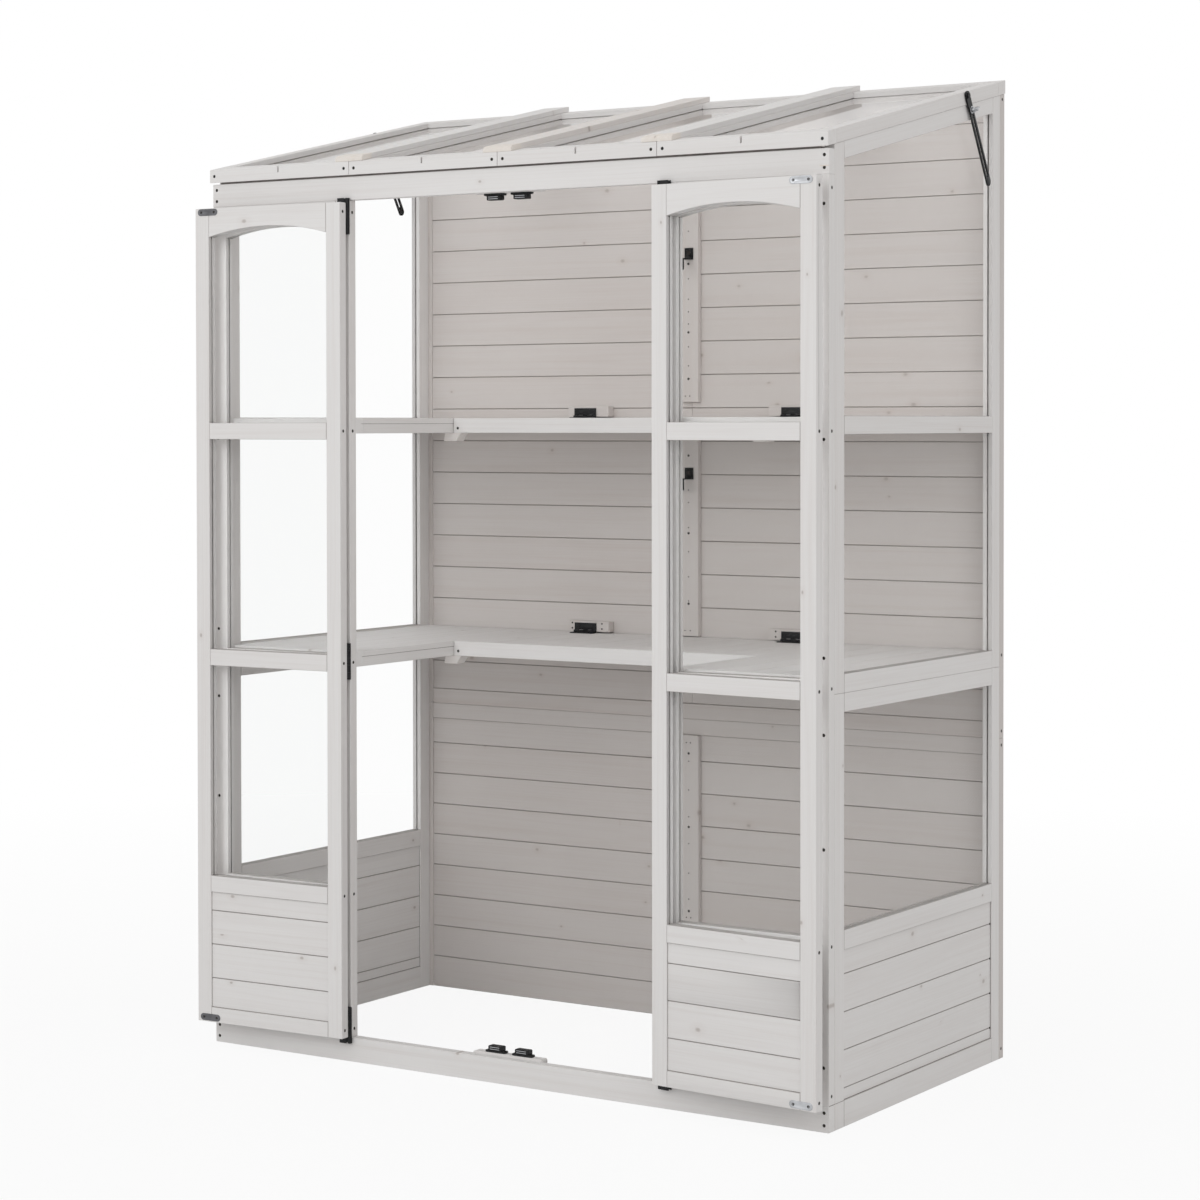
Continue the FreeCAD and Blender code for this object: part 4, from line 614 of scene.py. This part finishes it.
# Outline of a strip with round ends: two half circles whose middles are length apart
def stadium(length, radius, count=14):
    turn = np.linspace(-math.pi / 2, math.pi / 2, count)
    right = np.stack([np.cos(turn) * radius + length / 2, np.sin(turn) * radius], axis=-1)
    return np.concatenate([right, -right])


# A flat outline lifted to a height
def ringAt(outline, height):
    return np.concatenate([outline, np.full((len(outline), 1), height)], axis=1)


for word, side in (("left", -1), ("right", 1)):
    shapes, places = [], []
    inner = hinges["offset"] - hinges["proud"] + hinges["thick"]
    lowest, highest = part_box(word + "_door_strike_plates")
    for low in (lowest.z, highest.z - strike["height"]):
        r, t = strike["height"] / 2, strike["thick"]
        run = strike["length"] - strike["height"]
        rings = [ringAt(stadium(run * long, r * wide), t * high) for long, wide, high in strike["rings"]]
        middle = -side * (strike["free"] - strike["inset"] - strike["length"] / 2)
        level = low + r
        turned = turnAbout("Z", doorSwing[word])
        across, out = turned @ (1, 0, 0), turned @ (0, 1, 0)
        shapes.append(onAxes(np.array(rings), openDoor(word, (middle, inner, level)), across, (0, 0, 1), out))
        for sign in (-1, 1):
            local = (middle + sign * strike["screwAt"], inner + t - strike["screwSunk"], level)
            places.append((openDoor(word, local), out))
    addPiece(word + "_door_strikes", loftMesh("strikePlates", shapes), word + "_door",
             strike["metal"][word], [word + "_door_strike_plates"])
    addPiece(word + "_strike_screws", screwMesh("strikeScrews", places, strike["screwRadius"]),
             word + "_door", darkScrew)

# Screws in the vent hinges and in the shelf hinges

ventHinge = {
    "centre": 0.541, "spread": 0.110, "half": 0.030, "axisZ": roof["back"], "face": 0.756,
    "screws": ((0.009, 0.014), (0.030, 0.017), (0.051, 0.014)),    # along the leaf, out from the axis
    "radius": 0.0024,
}
shelfHinge = {
    "centre": 0.259, "half": 0.028, "axisY": 0.7095, "lift": 0.0035,
    "tops": {"lower": 0.828, "upper": 1.300},
    "screwAt": (0.011, 0.045), "out": 0.0115, "radius": 0.0022, "sunk": 0.002,
}
wallPlaces = []
for word, side in (("left", -1), ("right", 1)):
    ventPlaces = []
    for sign in (-1, 1):
        start = side * ventHinge["centre"] + sign * ventHinge["spread"] - ventHinge["half"]
        for along, out in ventHinge["screws"]:
            wallPlaces.append(((start + along, ventHinge["face"], ventHinge["axisZ"] - out), (0, 1, 0)))
            ventPlaces.append(((start + along, ventHinge["face"], ventHinge["axisZ"] + out), (0, 1, 0)))
    addPiece(word + "_vent_hinge_screws", screwMesh("ventScrews", ventPlaces, ventHinge["radius"]),
             word + "_vent", blackCoat)
k = shelfHinge
for tier, top in k["tops"].items():
    shelfPlaces = []
    for side in (-1, 1):
        for along in k["screwAt"]:
            x = side * k["centre"] - k["half"] + along
            shelfPlaces.append(((x, k["axisY"] - k["out"], top + k["sunk"]), (0, 0, 1)))
            wallSpot = (x, k["axisY"] + k["lift"] - k["sunk"], top + k["lift"] + k["out"])
            wallPlaces.append((wallSpot, (0, -1, 0)))
    addPiece(tier + "_shelf_hinge_screws", screwMesh("shelfScrews", shelfPlaces, k["radius"]),
             tier + "_folding_shelf", blackCoat)
addPiece("wall_hinge_screws", screwMesh("wallScrews", wallPlaces, ventHinge["radius"]), "cabinet",
         blackCoat)
print("hinge screws and strike plates made")

# Magnetic catches: a flange with two screws and a case with two steel keepers

catch = {
    "centre": 0.0315,
    "face": 0.0230,
    "levels": ((0.053, 1), (1.738, -1)),           # height of its seat, and which way it stands
    "flange": (0.047, 0.016, 0.004), "flangeBack": 0.001, "flangeRound": (0.004, 0.0007),
    "case": (0.032, 0.018, 0.0095), "caseBack": 0.0006, "caseRound": (0.0022, 0.0012), "seat": 0.9,
    "keeper": (0.0225, 0.0012, 0.0015), "keeperRound": (0.0004, 0.0002), "keeperLifts": (0.0028, 0.0066),
    "screwOut": 0.0035, "screwRadius": 0.0026,
}


# Outline of a rectangle with round corners: a quarter circle about the middle of each corner
def roundedRing(width, height, radius, count=5):
    turn = np.concatenate([np.linspace(0, math.pi / 2, count) + n * math.pi / 2 for n in range(4)])
    signX, signY = np.repeat([1, -1, -1, 1], count), np.repeat([1, 1, -1, -1], count)
    return np.stack([np.cos(turn) * radius + signX * (width / 2 - radius),
                     np.sin(turn) * radius + signY * (height / 2 - radius)], axis=-1)


# Rings of a block with round corners whose two ends are eased: it starts at 0 and ends at depth
def softBlock(width, height, depth, corner, ease):
    full = roundedRing(width, height, corner)
    small = roundedRing(width - 2 * ease, height - 2 * ease, max(corner - ease, 1e-5))
    return np.array([ringAt(small, 0), ringAt(full, ease), ringAt(full, depth - ease), ringAt(small, depth)])


shapes, keepers, places = [], [], []
k = catch
w, d, h = k["flange"]
caseWide, caseDeep, caseHigh = k["case"]
keeperWide, keeperHigh, keeperDeep = k["keeper"]
flange = softBlock(w, d, h, *k["flangeRound"])
case = softBlock(caseWide, caseDeep - k["caseBack"], caseHigh, *k["caseRound"])
keeper = softBlock(keeperWide, keeperHigh, keeperDeep, *k["keeperRound"])
for level, up in k["levels"]:
    for side in (-1, 1):
        x = side * k["centre"]
        flangeY, caseY = k["face"] + k["flangeBack"] + d / 2, k["face"] + k["caseBack"] + caseDeep / 2
        shapes.append(onAxes(flange, (x, flangeY, level), (1, 0, 0), (0, 1, 0), (0, 0, up)))
        shapes.append(onAxes(case, (x, caseY, level + up * h * k["seat"]), (1, 0, 0), (0, 1, 0), (0, 0, up)))
        for lift in k["keeperLifts"]:
            spot = (x, k["face"] + keeperDeep, level + up * (h + lift))
            keepers.append(onAxes(keeper, spot, (1, 0, 0), (0, 0, 1), (0, -1, 0)))
        for sign in (-1, 1):
            places.append(((x + sign * (caseWide / 2 + k["screwOut"]), flangeY, level + up * h), (0, 0, up)))
addPiece("magnet_cases", loftMesh("magnetCases", shapes), "cabinet", mouldedBlack,
         ["magnetic_catches"])
addPiece("magnet_keepers", loftMesh("magnetKeepers", keepers), "cabinet", zincPlate)
addPiece("magnet_screws", screwMesh("magnetScrews", places, k["screwRadius"]), "cabinet",
         darkScrew)

# Wing nuts and the bolts they turn on

stay = {
    "lean": 30.8,
    "edge": 0.722,
    "seat": 0.0063,
    "hub": ((0.0, 0.0032), (0.0, 0.0053), (0.0006, 0.0055), (0.0035, 0.0050), (0.0056, 0.0044),
            (0.006, 0.0040), (0.006, 0.0032), (0.0052, 0.0030)),
    "earAt": (0.0082, 0.0064), "earReach": (0.0046, 0.0052), "earThick": 0.0024, "earLean": 0.0012,
    "earAround": 28,
    "earRings": ((-1.0, 0.80), (-0.8, 0.95), (0.0, 1.0), (0.8, 0.95), (1.0, 0.80)),
    "wall": 0.7203, "boltEnd": 0.7408, "boltRadius": 0.0029, "boltTip": (0.0008, 0.72),
    "threadRings": 40, "threadPitch": 0.00102, "threadDepth": (0.00022, 0.00018),
    "washerAt": 0.0048,
    "washer": ((0, 0.0030), (0, 0.0073), (0.0003, 0.0075), (0.0009, 0.0075), (0.0012, 0.0073),
               (0.0012, 0.0030)),
}
jointAt = {joint["name"]: joint.get("pos_m") for joint in frame["record"]["behaviour"]["joints"]}


# Rings about an axis from (distance along it, radius) pairs
def lathed(profile, around=24):
    turn = np.linspace(0, 2 * math.pi, around, endpoint=False)
    d, r = np.asarray(profile).T[:, :, None]
    return np.stack([r * np.cos(turn), r * np.sin(turn), np.repeat(d, around, 1)], axis=-1)


# Rings of a wing nut's ear: an oval that leans outwards, smaller towards its two faces
def earRings(sign):
    turn = np.linspace(0, 2 * math.pi, stay["earAround"], endpoint=False)
    ear = np.stack([sign * stay["earReach"][0] * np.cos(turn),
                    stay["earReach"][1] * np.sin(turn) + stay["earLean"] * np.cos(turn)], axis=-1)
    rings = []
    for depth, scale in stay["earRings"]:
        shrunk = np.array([sign * stay["earAt"][0], stay["earAt"][1]]) + ear * scale
        level = np.full(len(turn), depth * stay["earThick"] / 2)
        rings.append(np.stack([shrunk[:, 0], level, shrunk[:, 1]], axis=-1))
    return np.array(rings)


# A bolt's outline: its radius goes up and down with the cosine of the length, and its tip is smaller
def boltProfile():
    tip, tipShare = stay["boltTip"]
    lengths = np.linspace(stay["wall"], stay["boltEnd"] - tip, stay["threadRings"])
    wave = np.cos((lengths - stay["wall"]) * 2 * math.pi / stay["threadPitch"])
    radius = stay["boltRadius"] - stay["threadDepth"][0] + stay["threadDepth"][1] * wave
    return np.vstack([np.stack([lengths, radius], axis=-1), (stay["boltEnd"], stay["boltRadius"] * tipShare)])


for word, side in (("left", -1), ("right", 1)):
    lean = math.radians(stay["lean"])
    y, z = jointAt[word + "_wing_nut_turn"][1:]
    axes = (0, math.cos(lean), math.sin(lean)), (0, -math.sin(lean), math.cos(lean)), (side, 0, 0)
    base = (side * (stay["edge"] + stay["seat"]), y, z)
    shapes = [onAxes(rings, base, *axes) for rings in (lathed(stay["hub"]), earRings(-1), earRings(1))]
    addPiece(word + "_wing_nut_body", loftMesh("wingNut", shapes), word + "_wing_nut",
             zincPlate, [word + "_wing_nut"])
    washer = np.array(stay["washer"]) + (stay["edge"] + stay["washerAt"], 0)
    shapes = [onAxes(rings, (0, y, z), *axes) for rings in (lathed(boltProfile(), 16), lathed(washer, 32))]
    addPiece(word + "_threaded_bolt", loftMesh("threadedBolt", shapes), word + "_stay_bolt",
             zincPlate, [word + "_stay_bolt"])

# Screws and pin marks in the centre strip

strip = {
    "middle": -0.002,
    "face": 0.723,
    "marks": (                              # millimetres over the floor, and right of the middle
        (1741, 0), (1701, 0), (1599, 0), (1555, 0), (1528, 0), (1502, 0), (1453, 0), (1412, 0), (1347, -8),
        (1347, 3), (1254, 0), (1145, 0), (1118, 0), (1064, 0), (1012, 0), (958, 0), (906, 0), (842, -9),
        (842, 4), (600, -6), (600, 4), (560, 0), (498, 0), (440, 0), (382, 0), (318, 0), (262, 0),
        (222, -6), (222, 5)),
    "pin": ((0.0, 0.0015), (0.0003, 0.0014)),
    "screws": (1631, 1484, 1384, 1219, 1052, 900, 577, 418, 236),
    "screwRadius": 0.0028,
}
pin = lathed(strip["pin"], 8)
shapes = [onAxes(pin, (x / 1000 + strip["middle"], strip["face"], z / 1000), (1, 0, 0), (0, 0, 1), (0, -1, 0))
          for z, x in strip["marks"]]
addPiece("strip_pins", loftMesh("stripPins", shapes), "cabinet", grooveShade)
places = [((strip["middle"], strip["face"], z / 1000), (0, -1, 0)) for z in strip["screws"]]
addPiece("strip_screws", screwMesh("stripScrews", places, strip["screwRadius"]), "cabinet",
         darkScrew)
print("catches, nuts and bolts made")

# Thin dark lines of painted shade: along the panes' upright edges, the sides of the roof panes, and the joint
# between each field of boards and its frame, where the stain is also thin. Dark dots of painted shade mark
# the panes' corners.

line = {
    "groove": 0.0077,                       # a pane or board goes this far into its frame
    "into": 0.0004, "proud": 0.0003, "lift": 0.00004,
    # widths of the painted shade lines beside panes and beside fields of boards
    "paneShadeWide": 0.0008, "jointShadeWide": 0.0006,
    "archTop": 1.6997, "archSpring": 1.6730,
    "dot": 0.0014, "dotHigh": 0.0012, "dotShape": ((0, 1), (0.8, 1), (1, 0.7)),    # height, radius
}


# The corners of a polygon moved inwards: each is where its two edges meet once both have moved
def inset(corners, distance):
    edges = np.roll(corners, -1, axis=0) - corners
    edges /= np.linalg.norm(edges, axis=1)[:, None]
    inward = np.stack([-edges[:, 1], edges[:, 0]], axis=-1)
    reach = (inward * corners).sum(1) + distance
    return np.array([np.linalg.solve([inward[n - 1], inward[n]], [reach[n - 1], reach[n]])
                     for n in range(len(corners))])


# A flat solid's outline on its wide faces, in order round it, and where those two faces lie
def flatOutline(local):
    thin = int(np.argmin(np.ptp(local, axis=0)))
    wide = [axis for axis in range(3) if axis != thin]
    faces = local[:, thin].min(), local[:, thin].max()
    corners = np.unique(local[local[:, thin] > faces[1] - 1e-4][:, wide].round(5), axis=0)
    middle = corners.mean(0)
    turn = np.arctan2(corners[:, 1] - middle[1], corners[:, 0] - middle[0])
    return thin, wide, faces, corners[np.argsort(turn)]


# Points (a, b) of a wide face, and their height over it, taken to where they lie in the room
def onFace(flat, height, thin, wide, basis):
    local = np.zeros((len(flat), 3))
    local[:, wide] = flat
    local[:, thin] = height
    return local @ basis.T


# A bead with a square section from each corner to the next, kept where wanted says so
def beads(corners, face, sign, width, thin, wide, basis, wanted):
    edges = np.roll(corners, -1, axis=0) - corners
    inward = np.stack([-edges[:, 1], edges[:, 0]], axis=-1) / np.linalg.norm(edges, axis=1)[:, None]
    shapes = []
    for n in range(len(corners)):
        pair = corners[[n, (n + 1) % len(corners)]]
        if wanted(onFace(pair, face, thin, wide, basis)):
            outer, inner = pair - inward[n] * line["into"], pair + inward[n] * width
            levels = face + sign * line["lift"], face + sign * line["proud"]
            ring = [onFace(flat, level, thin, wide, basis) for flat, level in
                    ((outer, levels[0]), (inner, levels[0]), (inner, levels[1]), (outer, levels[1]))]
            shapes.append(np.stack(ring, axis=1))
    return shapes


# A low round dot on a face
def dotAt(point, across, along, out, radius=line["dot"]):
    profile = np.array(line["dotShape"]) * (line["dotHigh"], radius)
    return onAxes(lathed(profile, 10), point, across, along, out)


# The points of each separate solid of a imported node
def mergedParts(name):
    merged = easedCopy(name, dict(easing, round=0.0))
    points, part = pointsAndParts(merged)
    bpy.data.meshes.remove(merged)
    return [points[part == number] for number in range(part.max() + 1)]


# Whether two ends of an edge lie above one another
def isUpright(ends):
    return abs(ends[0] - ends[1])[:2].max() < 0.001


for name in sorted(n for n in nodes if slotOf[n] == "clear_pane"):
    shapes, dots = [], []
    for mine in mergedParts(name):
        basis = ownBasis(mine)
        thin, wide, faces, outline = flatOutline(mine @ basis)
        corners = inset(outline, line["groove"])
        onFront = thin == 1 and basis is bases[0]
        face, sign = (faces[0], -1) if onFront else (faces[1], 1)
        if abs(mine[:, 2].max() - line["archTop"]) < 0.0005:       # the arched rail hides the pane's top
            corners[:, 1] = np.minimum(corners[:, 1], line["archSpring"])
        isRoof = thin == 2
        # lines of painted shade where the pane meets its frame
        shapes += beads(corners, face, sign, line["paneShadeWide"], thin, wide, basis,
                        lambda ends: isRoof or isUpright(ends))
        # dots of painted shade at the pane's corners
        dots += [dotAt(spot, basis[:, wide[0]], basis[:, wide[1]], sign * basis[:, thin])
                 for spot in onFace(corners, face + sign * line["lift"], thin, wide, basis)]
    addPiece(name + "_shade_lines", loftMesh("paneShadeLines", shapes), bodyOf[name], jointShade)
    addPiece(name + "_dots", loftMesh("paneCornerShade", dots), bodyOf[name], grooveShade)

# Boards with the same ends lie in one field
for name in ("left_door_boards", "right_door_boards", "wall_boards"):
    fields = {}
    for mine in mergedParts(name):
        basis = ownBasis(mine)
        low, high = (mine @ basis).min(0), (mine @ basis).max(0)
        key = tuple(np.concatenate([low[:2], high[:2]]).round(4))
        fields.setdefault(key, (basis, []))[1].append((low, high))
    shapes = []
    for basis, pieces in fields.values():
        low, high = np.min([p[0] for p in pieces], axis=0), np.max([p[1] for p in pieces], axis=0)
        thin = int(np.argmin(high - low))
        wide = [axis for axis in range(3) if axis != thin]
        (a, c), (b, d) = low[wide], high[wide]
        # A dark line round each field where it meets its frame: partly stain that stays thin in the corner,
        # partly painted shade in the recess
        corners = inset(np.array([(a, c), (b, c), (b, d), (a, d)]), line["groove"])
        for face, sign in ((low[thin], -1), (high[thin], 1)):
            shapes += beads(corners, face, sign, line["jointShadeWide"], thin, wide, basis, lambda ends: True)
    addPiece(name + "_joint_shade_lines", loftMesh("boardJointShade", shapes), bodyOf[name],
             jointShade)

# Dark dots of painted shade where the side walls' board joints run into the stiles

boardEnds = {"face": 0.7160, "stiles": (0.0612, 0.6968), "pitch": 0.070, "count": 4, "radius": 0.0022}
shapes = [dotAt((side * boardEnds["face"], y, boardEnds["pitch"] * n), (0, 1, 0), (0, 0, 1), (side, 0, 0),
                boardEnds["radius"])
          for side in (-1, 1)
          for y in boardEnds["stiles"]
          for n in range(1, boardEnds["count"] + 1)]
addPiece("side_board_joint_shade", loftMesh("boardEndShade", shapes), "cabinet", grooveShade)

# A dark strip of painted shadow fills the gap between the header and the roof

gapShadeStrip = {"half": 0.701, "y": (0.004, 0.018), "z": (1.7851, 1.7890)}
(front, back), (low, high) = gapShadeStrip["y"], gapShadeStrip["z"]
ring = np.array([(front, low), (back, low), (back, high), (front, high)])
rings = [np.column_stack([np.full(4, x), ring]) for x in (-gapShadeStrip["half"], gapShadeStrip["half"])]
addPiece("header_gap_shade_strip", loftMesh("gapShadeStrip", [np.array(rings)]), "cabinet", jointShade)

# Ledge blocks: a tapered block under each front corner of the folding shelves

ledge = {
    "top": (0.348, 0.3885), "foot": (0.358, 0.3925),       # inner and outer ends, from the middle
    "height": 0.017,
    "under": (0.797, 1.269),                               # the folding shelves' undersides
    "gap": 0.0003,
    "ease": 0.0015,
    "slant": 0.3,
    "seed": 77,
}


# A block's outline (across, up from its top) with eased lower corners, and the same drawn in for its ends
def ledgeOutlines():
    (a, b), (c, d), h, e = ledge["top"], ledge["foot"], ledge["height"], ledge["ease"]
    s = e * ledge["slant"]
    full = np.array([(a, 0), (b, 0), (d - s, e - h), (d - e, -h), (c + e, -h), (c + s, e - h)])
    return full, full + e * np.array([(1, 0), (-1, 0), (-1, 0.4), (-0.6, 1), (0.6, 1), (1, 0.4)])


lowest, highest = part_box("shelf_ledge_blocks")
full, drawnIn = ledgeOutlines()
e = ledge["ease"]
steps = ((drawnIn, lowest.y), (full, lowest.y + e), (full, highest.y - e), (drawnIn, highest.y))
shapes = [np.array([np.column_stack([flat[:, 0] * side, np.full(6, y), flat[:, 1] + under - ledge["gap"]])
                    for flat, y in steps])
          for under in ledge["under"] for side in (-1, 1)]
mesh = loftMesh("ledgeBlocks", shapes)
writeGrain(mesh, ledge["seed"], False, False)
addPiece("shelf_ledge_blocks_shaped", mesh, bodyOf["shelf_ledge_blocks"],
         warmTimber, ["shelf_ledge_blocks"])

# Screws in the folding shelves' front rails and in the lower shelf's hinge blocks

railScrew = {"x": 0.355, "face": 0.362, "below": 0.021, "radius": 0.0029}
blockScrew = {"x": (0.294, 0.217), "face": 0.713, "z": (0.8378, 0.8492), "radius": 0.0021}
for tier, top in shelfHinge["tops"].items():
    places = [((side * railScrew["x"], railScrew["face"], top - railScrew["below"]), (0, -1, 0))
              for side in (-1, 1)]
    addPiece(tier + "_shelf_rail_screws", screwMesh("railScrews", places, railScrew["radius"]),
             tier + "_folding_shelf", darkScrew)
places = [((side * x, blockScrew["face"], z), (0, -1, 0))
          for side in (-1, 1) for x in blockScrew["x"] for z in blockScrew["z"]]
addPiece("hinge_block_screws", screwMesh("blockScrews", places, blockScrew["radius"]), "cabinet",
         darkScrew)

# Lines of painted shade along the joints of the side shelves' inner rails and round the cabinet's front feet,
# and a split in the header

joint = {
    "shelfX": 0.367, "shelfRun": (0.040, 0.730), "below": 0.0115,
    "footX": 0.720, "footRun": (0.0005, 0.0590), "footZ": 0.0490,
    "high": 0.0008, "proud": 0.0002,
}
split = {
    "size": (0.019, 0.0016, 0.0006), "ease": (0.0006, 0.0002), "place": (0.7100, 0.0002, 1.7533),
    "seed": 78,
}


# A flat bar that lies on a plane of constant x: its ends are given in y, its middle in z
def barOnSide(x, side, run, z):
    h, p = joint["high"] / 2, side * joint["proud"]
    ring = np.array([(x - p, z - h), (x + p, z - h), (x + p, z + h), (x - p, z + h)])
    return np.array([np.column_stack([ring[:, 0], np.full(4, y), ring[:, 1]]) for y in run])


shapes = [barOnSide(-side * joint["shelfX"], side, joint["shelfRun"], top - joint["below"])
          for side in (-1, 1) for top in shelfHinge["tops"].values()]
shapes += [barOnSide(side * joint["footX"], side, joint["footRun"], joint["footZ"]) for side in (-1, 1)]
addPiece("side_joint_shade_lines", loftMesh("sideJointShade", shapes), "cabinet", jointShade)
block = onAxes(softBlock(*split["size"], *split["ease"]), split["place"], (1, 0, 0), (0, 0, 1), (0, -1, 0))
mesh = loftMesh("headerSplit", [block])
writeGrain(mesh, split["seed"], False, False)
addPiece("header_split", mesh, "cabinet", bareTimber)
print("seals, joint lines and ledge blocks made")


# Floor, light and surroundings

studio = {
    "floor": 14,
    "floorShade": 0.80,
    "white": (0.90, 1.0),          # how much of the floor is plain white to the camera, near and far
    "fade": (1.2, 4.5),
    "world": 0.70,
    "target": (0, 0.3, 1.0),
    "key": {"place": (-0.6, -4.9, 3.2), "size": 4.0, "power": 64, "colour": (0.98, 1.0, 1.01)},
    "fill": {"place": (4.5, -2.0, 3.0), "size": 3.0, "power": 14, "colour": (1.0, 1.0, 1.0)},
}


# The share of camera, glossy and transmitted rays in a light path, from 0 to 1
def seenRays(tree):
    rays = put(tree, "ShaderNodeLightPath").outputs
    seen = maths(tree, "ADD", rays["Is Camera Ray"], rays["Is Glossy Ray"])
    return maths(tree, "ADD", seen, rays["Is Transmission Ray"], clamp=True)


# Matte to the light, and white to the camera: the share of white grows with the distance from the middle
def makeFloor():
    mat, tree = freshTree("paleFloor")
    shade = studio["floorShade"]
    matte = put(tree, "ShaderNodeBsdfDiffuse", {"Color": (shade, shade, shade, 1)}).outputs[0]
    white = put(tree, "ShaderNodeEmission", {"Color": (1, 1, 1, 1), "Strength": 1.0}).outputs[0]
    where = put(tree, "ShaderNodeTexCoord").outputs["Object"]
    away = put(tree, "ShaderNodeVectorMath", {0: where}, operation="LENGTH").outputs["Value"]
    share = maths(tree, "MULTIPLY", seenRays(tree), ramp(tree, away, *studio["fade"], studio["white"]))
    mixed = put(tree, "ShaderNodeMixShader", {0: share, 1: matte, 2: white}).outputs[0]
    return finishSurface(mat, tree, mixed)


floorMesh = bpy.data.meshes.new("floorMesh")
half = studio["floor"]
corners = [(-half, -half, 0), (half, -half, 0), (half, half, 0), (-half, half, 0)]
floorMesh.from_pydata(corners, [], [(0, 1, 2, 3)])
floor = bpy.data.objects.new("floor", floorMesh)
bpy.context.scene.collection.objects.link(floor)
floorMesh.materials.append(makeFloor())

world = bpy.data.worlds.new("studioAir")
bpy.context.scene.world = world
world.use_nodes = True
sky = world.node_tree
sky.nodes.clear()
soft = put(sky, "ShaderNodeBackground", {"Color": (1.0, 0.995, 0.99, 1),
                                         "Strength": studio["world"]}).outputs[0]
bright = put(sky, "ShaderNodeBackground", {"Color": (1, 1, 1, 1), "Strength": 1.0}).outputs[0]
mixed = put(sky, "ShaderNodeMixShader", {0: seenRays(sky), 1: soft, 2: bright}).outputs[0]
sky.links.new(mixed, put(sky, "ShaderNodeOutputWorld").inputs["Surface"])


# A round area light that faces the middle of the cabinet
def addLamp(name, lamp):
    data = bpy.data.lights.new(name, "AREA")
    data.shape = "DISK"
    data.size = lamp["size"]
    data.energy = lamp["power"]
    data.color = lamp["colour"]
    light = bpy.data.objects.new(name, data)
    light.location = lamp["place"]
    ahead = Vector(studio["target"]) - Vector(lamp["place"])
    light.rotation_euler = ahead.to_track_quat("-Z", "Y").to_euler()
    bpy.context.scene.collection.objects.link(light)


addLamp("keyLamp", studio["key"])
addLamp("fillLamp", studio["fill"])
print("studio lit")
